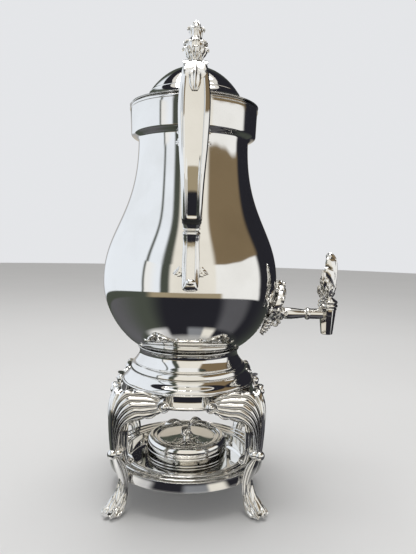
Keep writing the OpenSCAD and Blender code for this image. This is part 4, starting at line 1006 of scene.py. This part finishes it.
TAP_Z = SEAT_Z + 31.7
TAP_ROOT = float(vessel_radius(TAP_Z))
TAP_X, HUB_X = TAP_ROOT + 59, TAP_ROOT + 13
BARREL_TOP, BARREL_H = TAP_Z + 6.4, 26.0
BARREL_Z = BARREL_TOP - BARREL_H
KEY_Z, KEY_TURN = BARREL_TOP + 0.7, 28


def spin_x(outline):
    """A closed outline of (radius, x) spun round the shank's axis."""
    shape = spin(outline, 64)
    return shape.moved(lambda p: np.stack([p[:, 2], p[:, 0], TAP_Z + p[:, 1]], -1))


def make_shank():
    """Root flange, swelling taper, ring and the plain end that enters the barrel."""
    ring_x, end_x = TAP_ROOT + 39.7, TAP_ROOT + 53.6
    outline = chain(
        [[1.6, TAP_ROOT - 15.8], [4.6, TAP_ROOT - 15.8], [4.6, HUB_X], [6.4, HUB_X],
         [6.8, HUB_X + 0.8], [6.4, HUB_X + 2]],
        curve([[5, HUB_X + 2.6], [6.2, HUB_X + 8], [5, ring_x - 12], [3.9, ring_x - 3]], 16),
        curve([[4, ring_x - 2.6], [5.6, ring_x - 2.6], [6.4, ring_x - 0.6], [5.6, ring_x + 1]], 8),
        [[5.1, ring_x + 1.3], [5, ring_x + 2], [5, end_x], [1.6, end_x]])
    piece("shank", spin_x(soften(outline, 0.25)), "vessel", ["spigot_shank"])


def octagon(half):
    """An eight-sided ring of points with small round corners."""
    angle = np.radians(22.5 + 45 * np.arange(8))
    corners = half / math.cos(math.radians(22.5)) * np.stack([np.cos(angle), np.sin(angle)], -1)
    return soften(corners, 0.5, 4, 10)


def eight_sided(levels, bore, like):
    """A closed wall over TAP_X: octagons of (half width, z) outside, round (radius, z) inside.

    The bore's points stand at the angles of an octagon of half width like.
    """
    rings = [octagon(half) for half, _ in levels]
    angle = np.arctan2(*octagon(like).T[::-1])
    rings += [radius * np.stack([np.cos(angle), np.sin(angle)], -1) for radius, _ in bore]
    points = np.stack([np.column_stack([ring + [TAP_X, 0], np.full(len(ring), z)])
                       for ring, (_, z) in zip(rings, levels + bore)])
    return Shape().add(points, grid_faces(len(rings), len(angle), True, True))


def make_barrel():
    """Tapering barrel with its bore, and the square-headed screw on its face."""
    top, low = 8.0, 5.3
    levels = [(low - 0.5, BARREL_Z), (low, BARREL_Z + 0.5), (low + 0.1, BARREL_Z + 1.6),
              (top - 0.7, BARREL_TOP - 4.4), (top - 0.55, BARREL_TOP - 2.4),
              (top, BARREL_TOP - 1.6), (top, BARREL_TOP - 0.5), (top - 0.5, BARREL_TOP)]
    bore = [(3.7, BARREL_TOP), (3.7, BARREL_Z + 8), (3, BARREL_Z + 8), (3, BARREL_Z)]
    piece("barrel", eight_sided(levels, bore, low), "vessel", ["tap_barrel"], sharp=25)
    head = [(1.0, 3.1), (1.0, 6.9), (2.0, 7.0), (2.3, 7.4), (2.3, 9.3), (1.9, 9.7)]
    square = np.array([[1, 0.8], [-1, 0.8], [-1, -2.4], [1, -2.4]])
    rings = np.stack([soften(half * square, 0.25) for half, _ in head])
    centres = np.array([[TAP_X, -y, BARREL_TOP - 1.9] for _, y in head])
    screw = sweep(Shape(), centres, [1.0, 0, 0], np.broadcast_to(UPWARD, centres.shape), rings)
    piece("barrel_screw", screw, "vessel", ["tap_retaining_screw"], sharp=30)


def belly_spray():
    """Spray on the belly behind the hub: a middle leaf between curled strands."""
    spray = Shape()
    strands = [(0, [(0, -2, 4), (0, 9, 8.2), (0, 20, 8.2), (0, 29, 6), (0, 32, 3.6)],
                [(0, 8), (0.4, 12), (0.75, 9), (1, 2.4)])]
    for side in (-1, 1):
        strands += [
            (side, [(4, -2, 4.6), (11, 7, 8.8), (12.4, 17, 9.4), (7.6, 25, 8.4), (4.6, 28, 6)],
             [(0, 5), (0.35, 7.4), (0.7, 6.4), (1, 2)]),
            (side, [(7, -4, 4), (16, 2, 7.2), (20, 11, 8.4), (17.6, 20, 8), (14, 24, 6)],
             [(0, 4), (0.4, 6), (0.75, 4.6), (1, 1.6)])]
    for side, points, widths in strands:
        frond(spray, [(side * x, TAP_Z + y, z) for x, y, z in points], UPWARD, widths, 3.4,
              lobes=3, rows=60, cols=18, veins=1.0, rib=0.9, notch=0.3, push=0.05, cup=-0.7)
    for side in (-1, 1):
        for x, y, z, reach in ((20.6, 16, 8.6, 2.7), (20.4, 6, 7.4, 2.4), (6.4, 28.6, 7.6, 2.2)):
            volute(spray, [side * x, TAP_Z + y, z], [side * 1.0, 0, 0], ALONG_Y, reach, 0.6, 1.2,
                   2.0, 1.2, start=-1.2, width=1.6)
    return spray.moved(on_vessel(0))


def hub_leaves(shape):
    """A leaf that leans out over the hub, with a smaller leaf and a curl on each side."""
    tilt = math.radians(19)
    up = np.array([math.sin(tilt), 0, math.cos(tilt)])
    front = np.array([math.cos(tilt), 0, -math.sin(tilt)])
    base = np.array([TAP_ROOT + 5.4, 0, TAP_Z])
    run = np.linspace(0, 1, 24)[:, None]
    spine = base + up * (1 + 15 * run) + front * (4.2 * np.sin(math.pi * run**0.7) + 1.2 * run**4)
    leaf(shape, spine, ALONG_Y, front, [(0, 13), (0.3, 18), (0.6, 13.6), (0.85, 7), (1, 1.6)],
         2.4, lobes=3, rows=70, cols=44, cup=-0.55, veins=1.5, rib=1.6, notch=0.32, push=0.1)
    for side in (-1, 1):
        path = [base + up * h + side * ALONG_Y * a + front * p for h, a, p in (
            (-3, 4, 3), (0, 9.4, 6), (4, 11.6, 7.6), (7.6, 10.4, 7), (9.6, 9, 5))]
        frond(shape, path, [0.55, 0.8 * side, 0.1], [(0, 5), (0.45, 8.4), (0.8, 5.4), (1, 1.6)],
              2.2, lobes=3, rows=50, cols=20, veins=1.2, rib=0.9, notch=0.34, cup=-0.4)
        curl = base + up * 4.6 + side * ALONG_Y * 10.6 + front * 9.2
        volute(shape, curl, front, up, 2.5, 0.7, 1.3, 2, 1.2, start=-1.2, width=1.8)


def pendant(shape):
    """A beaded leaf that hangs from the hub down the belly, and a small hook."""
    line = smooth_path([(BELLY_R - x, TAP_Z - z) for x, z in
                        ((0.2, 5), (3.6, 11), (7.8, 17), (11.6, 21.4))])
    drop, normal = upright(line), upright(left_of(directions(line)))
    normal = normal * np.sign(normal[:, :1])
    leaf(shape, drop, ALONG_Y, normal, [(0, 14), (0.3, 13), (0.7, 8), (1, 2)], 2.6, lobes=5,
         rows=80, cols=30, veins=1.4, rib=0.4, notch=0.4, cup=-0.5, push=0.06)
    for k, t in enumerate(np.linspace(0.08, 0.96, 7)):
        ball(shape, drop[int(t * (len(drop) - 1))] + 1.2 * normal[0], 1.9 - 0.17 * k)
    ball(shape, [HUB_X - 1, -2.4, TAP_Z - 8.6], 1.5)
    hook = [(HUB_X - x, TAP_Z - z) for x, z in ((3.4, 5), (2.2, 9), (3.6, 12.4), (6, 12),
                                                (5.6, 10.2))]
    flat_bar(shape, hook, [(0, 4), (1, 2.2)], [(0, 3), (1, 1.6)], lambda w, t: oval(w, t, 16), 6)


def make_escutcheon():
    """Hub with its leaves and its pendant, and the spray on the belly behind it."""
    hub = chain(
        [[4.7, TAP_ROOT - 5], [8.6, TAP_ROOT - 3]],
        curve([[8.6, TAP_ROOT + 3], [9.2, TAP_ROOT + 7], [6.2, TAP_ROOT + 8],
               [6.6, HUB_X - 2.4]], 10),
        [[7.2, HUB_X - 1.8], [7.2, HUB_X - 0.6], [6.4, HUB_X - 0.1], [4.7, HUB_X - 0.1]])
    shape = spin_x(soften(hub, 0.4))
    hub_leaves(shape)
    pendant(shape)
    piece("escutcheon_cast", shape.join(belly_spray()), "vessel", ["spigot_escutcheon"], cast,
          sharp=60)


def key_leaves(shape):
    """A tall leaf with a curled tip, one behind it, and four leaves and a curl a side."""
    turn = math.radians(KEY_TURN)
    wing = np.array([math.sin(turn), math.cos(turn), 0])
    face = np.array([math.cos(turn), -math.sin(turn), 0])

    def at(across, height, proud):
        return np.array([TAP_X, 0, KEY_Z + 6 + height]) + across * wing + proud * face

    main = smooth_path([at(0, 1, 2), at(0, 12, 4.9), at(0, 24, 6.3), at(0, 35, 6.2),
                        at(0, 42, 4.2), at(0, 45.2, 0.6), at(0, 43, -2.6), at(0, 40.4, -1.2)])
    normals = unit(np.cross(wing, directions(main)))
    leaf(shape, main, wing, normals * np.sign(normals[0] @ face),
         [(0, 8), (0.25, 14), (0.5, 17.4), (0.68, 15), (0.84, 10), (1, 5)], 2.6, lobes=4,
         rows=110, cols=48, veins=1.3, rib=1.3, notch=0.26, push=0.07, cup=-0.8)
    frond(shape, [at(0, 2, -1.6), at(0, 14, -2.8), at(0, 26, -3.2), at(0, 35, -2.4)], -face,
          [(0, 8), (0.4, 12), (0.75, 9), (1, 2)], 2.4, wing, lobes=3, rows=60, cols=30,
          veins=1.1, rib=1.0, notch=0.3, push=0.08, cup=-0.5)
    for side in (-1, 1):
        for points, widths, lean in (
                ([(3.4, 3, 0), (7.4, 12, -2), (9.4, 21, -3.6), (9.4, 29.6, -3.8)],
                 [(0, 5), (0.4, 9), (0.75, 6.4), (1, 1.4)], -0.25),
                ([(3.4, 1, -2), (7.4, 4, -4.6), (9.8, 9.4, -6.8), (10.6, 15, -7.4)],
                 [(0, 4), (0.45, 5.8), (0.8, 4.2), (1, 1.2)], -0.4),
                ([(3.4, 1, 1), (7.6, 6, 2.2), (9.8, 13, 2.6), (9.8, 19, 2)],
                 [(0, 5), (0.45, 7), (0.8, 4.8), (1, 1.2)], 0.3),
                ([(4, 0, 0), (10, 0, -0.6), (14, 3, -1), (15.6, 8.4, -1.6)],
                 [(0, 4), (0.5, 6), (1, 1.2)], 0)):
            frond(shape, [at(side * a, h, p) for a, h, p in points],
                  unit(side * wing + lean * face), widths, 2.4, lobes=3, rows=50, cols=20,
                  veins=1.0, rib=1.0, notch=0.32, push=0.08, cup=-0.35)
        volute(shape, at(side * 7.6, 14, 2.6), face, UPWARD, 3.4, 0.8, 1.3, 2.4, 1.4, start=-1.4,
               width=1.6)


def make_key():
    """Eight-sided collar and a standing spray of leaves, turned a little to the shank."""
    half = 8.9
    levels = [(half - 0.5, 0), (half, 0.5), (half, 2), (half - 0.9, 2.6), (half - 0.9, 3.4),
              (half - 0.2, 4), (half - 0.2, 5.6), (half - 1.4, 6.6), (3.4, 9.6), (2.6, 14)]
    bore = [(1.2, 14), (1.2, 12.6), (2.7, 12.4), (2.7, 0)]
    shape = eight_sided(levels, bore, half - 0.5).moved(lambda points: points + KEY_Z * UPWARD)
    key_leaves(shape)
    limit = box_mm("tap_key_handle")[1].x - 1

    def ease_in(points):
        """Draws the outermost millimetre in, so that no leaf passes the CAD key."""
        return points - 0.4 * np.maximum(points[:, :1] - limit, 0) * [1, 0, 0]
    piece("key_cast", shape.moved(ease_in), "key", ["tap_key_handle"], cast, sharp=60)


make_shank()
make_barrel()
make_escutcheon()
make_key()

# ---- camera, light and floor -----------------------------------------------

IMAGE_H, FOCAL_PX = 554, 503.2
CAMERA_AT = Vector((0, -0.48046, 0.240))
YAW, PITCH, ROLL = 0.03498, 0.07611, 0.02577
LAMP_AT, LAMP_AIM, LAMP_SIZE, LAMP_WATTS = (-0.1, 0.05, 1.7), (0, 0, 0.22), (1.1, 0.9), 16
FLOOR_R, REFLECTION_WALL_R, REFLECTION_TABLE_Z = 4, 1.5, 0.003

# Colours painted into the reflections of the metal; the cards that carry them glow but light
# nothing.
WINDOW_REFLECTION, WOOD_REFLECTION, NIGHT = (0.86, 0.91, 0.98), (0.21, 0.155, 0.09), (0.02, 0.02, 0.026)
CREAM, SHADE, LINEN = (0.85, 0.82, 0.75), (0.07, 0.08, 0.065), (0.90, 0.90, 0.89)
DUSK, TAN, SLATE = (0.52, 0.48, 0.41), (0.36, 0.30, 0.20), (0.24, 0.25, 0.27)
# Stops round the urn for the painted reflections: degrees from the camera's side, positive to its
# right, and a colour.
ROOM_REFLECTION_LOW = [(-180, DUSK), (-168, DUSK), (-156, (0.4, 0.4, 0.41)), (-146, WINDOW_REFLECTION), (-63, WINDOW_REFLECTION),
            (-60, SHADE), (-57, LINEN), (-39, WINDOW_REFLECTION), (-35, SHADE), (-28, SHADE), (-23, CREAM),
            (29, CREAM), (34, LINEN), (94, LINEN), (102, NIGHT), (158, NIGHT), (170, DUSK),
            (180, DUSK)]
ROOM_REFLECTION_HIGH = [(-180, SHADE), (-156, SHADE), (-144, WINDOW_REFLECTION), (-62, WINDOW_REFLECTION), (-58, SHADE),
             (-54, WINDOW_REFLECTION), (-40, WINDOW_REFLECTION), (-34, SHADE), (-27, SHADE), (-21, CREAM), (27, CREAM),
             (35, WOOD_REFLECTION), (96, WOOD_REFLECTION), (106, NIGHT), (150, NIGHT), (180, SHADE)]
ROOM_REFLECTION_TOP = [(-180, NIGHT), (-60, NIGHT), (-34, SHADE), (-24, LINEN), (24, LINEN), (34, SHADE),
            (60, NIGHT), (180, NIGHT)]
NEAR_TABLE_REFLECTION = [(-180, SHADE), (-90, SHADE), (-62, LINEN), (-40, (0.6, 0.6, 0.61)), (-30, NIGHT),
        (-6, NIGHT), (2, SLATE), (20, SLATE), (25, CREAM), (38, CREAM), (46, NIGHT), (180, SHADE)]
TABLE_REFLECTION = [(-180, SHADE), (-120, (0.12, 0.12, 0.13)), (-60, SHADE), (-30, NIGHT), (34, NIGHT),
         (50, (0.1, 0.1, 0.11)), (72, (0.1, 0.1, 0.11)), (90, NIGHT), (180, SHADE)]
TABLE_EDGE_REFLECTION = [(-180, SHADE), (-58, SHADE), (-44, TAN), (36, TAN), (42, LINEN), (94, LINEN),
              (102, NIGHT), (180, SHADE)]
# Stops up the sky: upward part of the direction, from 0 at the horizon to 1 overhead.
SKY = [(0, (0.78, 0.79, 0.81)), (0.45, (0.78, 0.79, 0.81)), (0.64, (0.2, 0.2, 0.21)),
       (0.72, (0.2, 0.2, 0.21)), (0.76, (0.74, 0.72, 0.68))]


def make_camera():
    """The photo's camera: its focal length, place, yaw, pitch and roll."""
    camera = bpy.data.cameras.new("camera")
    camera.sensor_width = 36
    camera.lens = FOCAL_PX / IMAGE_H * camera.sensor_width
    camera.clip_start = 0.01
    obj = new_object("camera", camera)
    right = Vector((math.cos(YAW), -math.sin(YAW), 0))
    level = Vector((math.sin(YAW), math.cos(YAW), 0))
    ahead = level * math.cos(PITCH) - Vector((0, 0, math.sin(PITCH)))
    up = level * math.sin(PITCH) + Vector((0, 0, math.cos(PITCH)))
    across = math.cos(ROLL) * right + math.sin(ROLL) * up
    upward = math.cos(ROLL) * up - math.sin(ROLL) * right
    obj.matrix_world = Matrix.Translation(CAMERA_AT) @ Matrix(
        (across, upward, -ahead)).transposed().to_4x4()
    bpy.context.scene.camera = obj


def make_lamp():
    """A soft rectangular lamp over the urn."""
    lamp = bpy.data.lights.new("top_box", "AREA")
    lamp.shape = "RECTANGLE"
    lamp.size, lamp.size_y = LAMP_SIZE
    lamp.energy = LAMP_WATTS
    obj = new_object("top_box", lamp)
    obj.location = LAMP_AT
    obj.rotation_mode = "QUATERNION"
    obj.rotation_quaternion = (Vector(LAMP_AIM) - Vector(LAMP_AT)).to_track_quat("-Z", "Y")


def make_floor():
    """A pale floor without gloss."""
    bpy.ops.mesh.primitive_circle_add(vertices=128, radius=FLOOR_R, fill_type="NGON")
    floor = bpy.context.object
    floor.name = "floor"
    nodes = new_material("pale_floor")
    tone = nodes.blend(nodes.noise(3, 3), (0.66, 0.66, 0.66), (0.70, 0.70, 0.70))
    floor.data.materials.append(nodes.dress(tone, 0.9))
    nodes.tree.nodes["Principled BSDF"].inputs["Specular IOR Level"].default_value = 0.0


def make_world():
    """Pale round the horizon, dim above it and bright overhead, the same for every ray."""
    world = bpy.data.worlds.new("studio")
    bpy.context.scene.world = world
    nodes = Nodes(world)
    way = nodes.add("ShaderNodeTexCoord")["Generated"]
    upward = nodes.add("ShaderNodeSeparateXYZ", {"Vector": way})["Z"]
    nodes.feed(nodes.tree.nodes["Background"].inputs["Color"], nodes.ramp(upward, SKY))


def card_place(nodes):
    """Place on a card: its share of the turn round the urn, and its x, y and z."""
    place = nodes.add("ShaderNodeTexCoord")["Object"]
    x, y, z = nodes.add("ShaderNodeSeparateXYZ", {"Vector": place})
    angle = nodes.compute("ARCTAN2", x, nodes.compute("MULTIPLY", y, -1.0))
    return nodes.spread(angle, 0, 1, -math.pi, math.pi), x, y, z


def round_colours(nodes, turn, stops):
    """Colours that change round the urn, blended softly between stops."""
    stops = [((degrees + 180) / 360, colour) for degrees, colour in stops]
    return nodes.ramp(turn, stops, "EASE")


def reflected_card(nodes, rings, tone, cover=None):
    """A spun card that only shows in what the metal reflects; cover hides part of it."""
    name, steps = nodes.block.name, 96
    angle = np.linspace(0, 2 * math.pi, steps, endpoint=False)
    points = [(r * math.cos(t), r * math.sin(t), z) for r, z in rings for t in angle]
    mesh = bpy.data.meshes.new(name)
    mesh.from_pydata(points, [], grid_faces(len(rings), steps, False, True))
    shader = nodes.add("ShaderNodeEmission", {"Color": tone, "Strength": 1.0})["Emission"]
    if cover is not None:
        clear = nodes.add("ShaderNodeBsdfTransparent")["BSDF"]
        shader = nodes.add("ShaderNodeMixShader", {0: cover, 1: clear, 2: shader})["Shader"]
    nodes.feed(nodes.tree.nodes["Material Output"].inputs["Surface"], shader)
    mesh.materials.append(nodes.block)
    obj = new_object(name, mesh)
    obj.visible_camera = False
    obj.visible_shadow = False
    obj.visible_diffuse = False


def make_painted_room_reflection():
    """Painted reflection of windows on the left, a door and a brown patch on the right, and night
    behind and above, on a glowing card that only the metal's reflections show.
    """
    # Painted reflection: glowing colours round the urn that light nothing and show only in the
    # metal.
    nodes = new_material("painted_room_reflection")
    turn, _, _, z = card_place(nodes)
    low, high, top = (round_colours(nodes, turn, stops)
                      for stops in (ROOM_REFLECTION_LOW, ROOM_REFLECTION_HIGH, ROOM_REFLECTION_TOP))
    wave = nodes.compute("MULTIPLY_ADD", nodes.noise(1.4, 0), 0.12, z)
    tone = nodes.blend(nodes.spread(wave, 0, 1, 0.745, 0.785), low, high)
    tone = nodes.blend(nodes.spread(z, 0, 1, 1.84, 1.9), tone, top)
    reflected_card(nodes, [(REFLECTION_WALL_R, 0.0), (REFLECTION_WALL_R, 0.6), (REFLECTION_WALL_R, 1.3), (REFLECTION_WALL_R - 0.1, 1.9),
                           (REFLECTION_WALL_R - 0.2, 2.6)], tone)


def make_painted_table_reflection():
    """Painted reflection of a dark table top with a tan edge, from just outside the feet out to the
    painted walls, on a glowing card that only the metal's reflections show.
    """
    # Painted reflection: this dark card is never seen by the camera, and the real floor under the
    # urn stays pale.
    nodes = new_material("table")
    turn, x, y, _ = card_place(nodes)
    square = nodes.compute("ADD", nodes.compute("MULTIPLY", x, x),
                           nodes.compute("MULTIPLY", y, y))
    tone = round_colours(nodes, turn, NEAR_TABLE_REFLECTION)
    for stops, start, end in ((TABLE_REFLECTION, 0.019, 0.026), (TABLE_EDGE_REFLECTION, 0.34, 0.4),
                              (ROOM_REFLECTION_LOW, 0.9, 1.05)):
        beyond = round_colours(nodes, turn, stops)
        tone = nodes.blend(nodes.spread(square, 0, 1, start, end), tone, beyond)
    reflected_card(nodes, [(r, REFLECTION_TABLE_Z) for r in (0.08, 0.5, REFLECTION_WALL_R)], tone,
                   nodes.spread(square, 0, 1, 0.007, 0.013))


make_camera()
make_floor()
make_world()
make_lamp()
make_painted_room_reflection()
make_painted_table_reflection()
view = bpy.context.scene.view_settings
view.view_transform = "Standard"

# ---- CAD pieces that keep their own shape ----------------------------------

FINISH = {"silver_plate": spun, "black_insulator": black, "gasket": rubber,
          "steel_pin": steel, "wick": cotton, "gauze": brass}
for row in frame["record"]["subparts"]:
    node = frame["nodes"][row["node"]]
    node.data.materials.clear()
    node.data.materials.append(FINISH[row["material_slot"]])
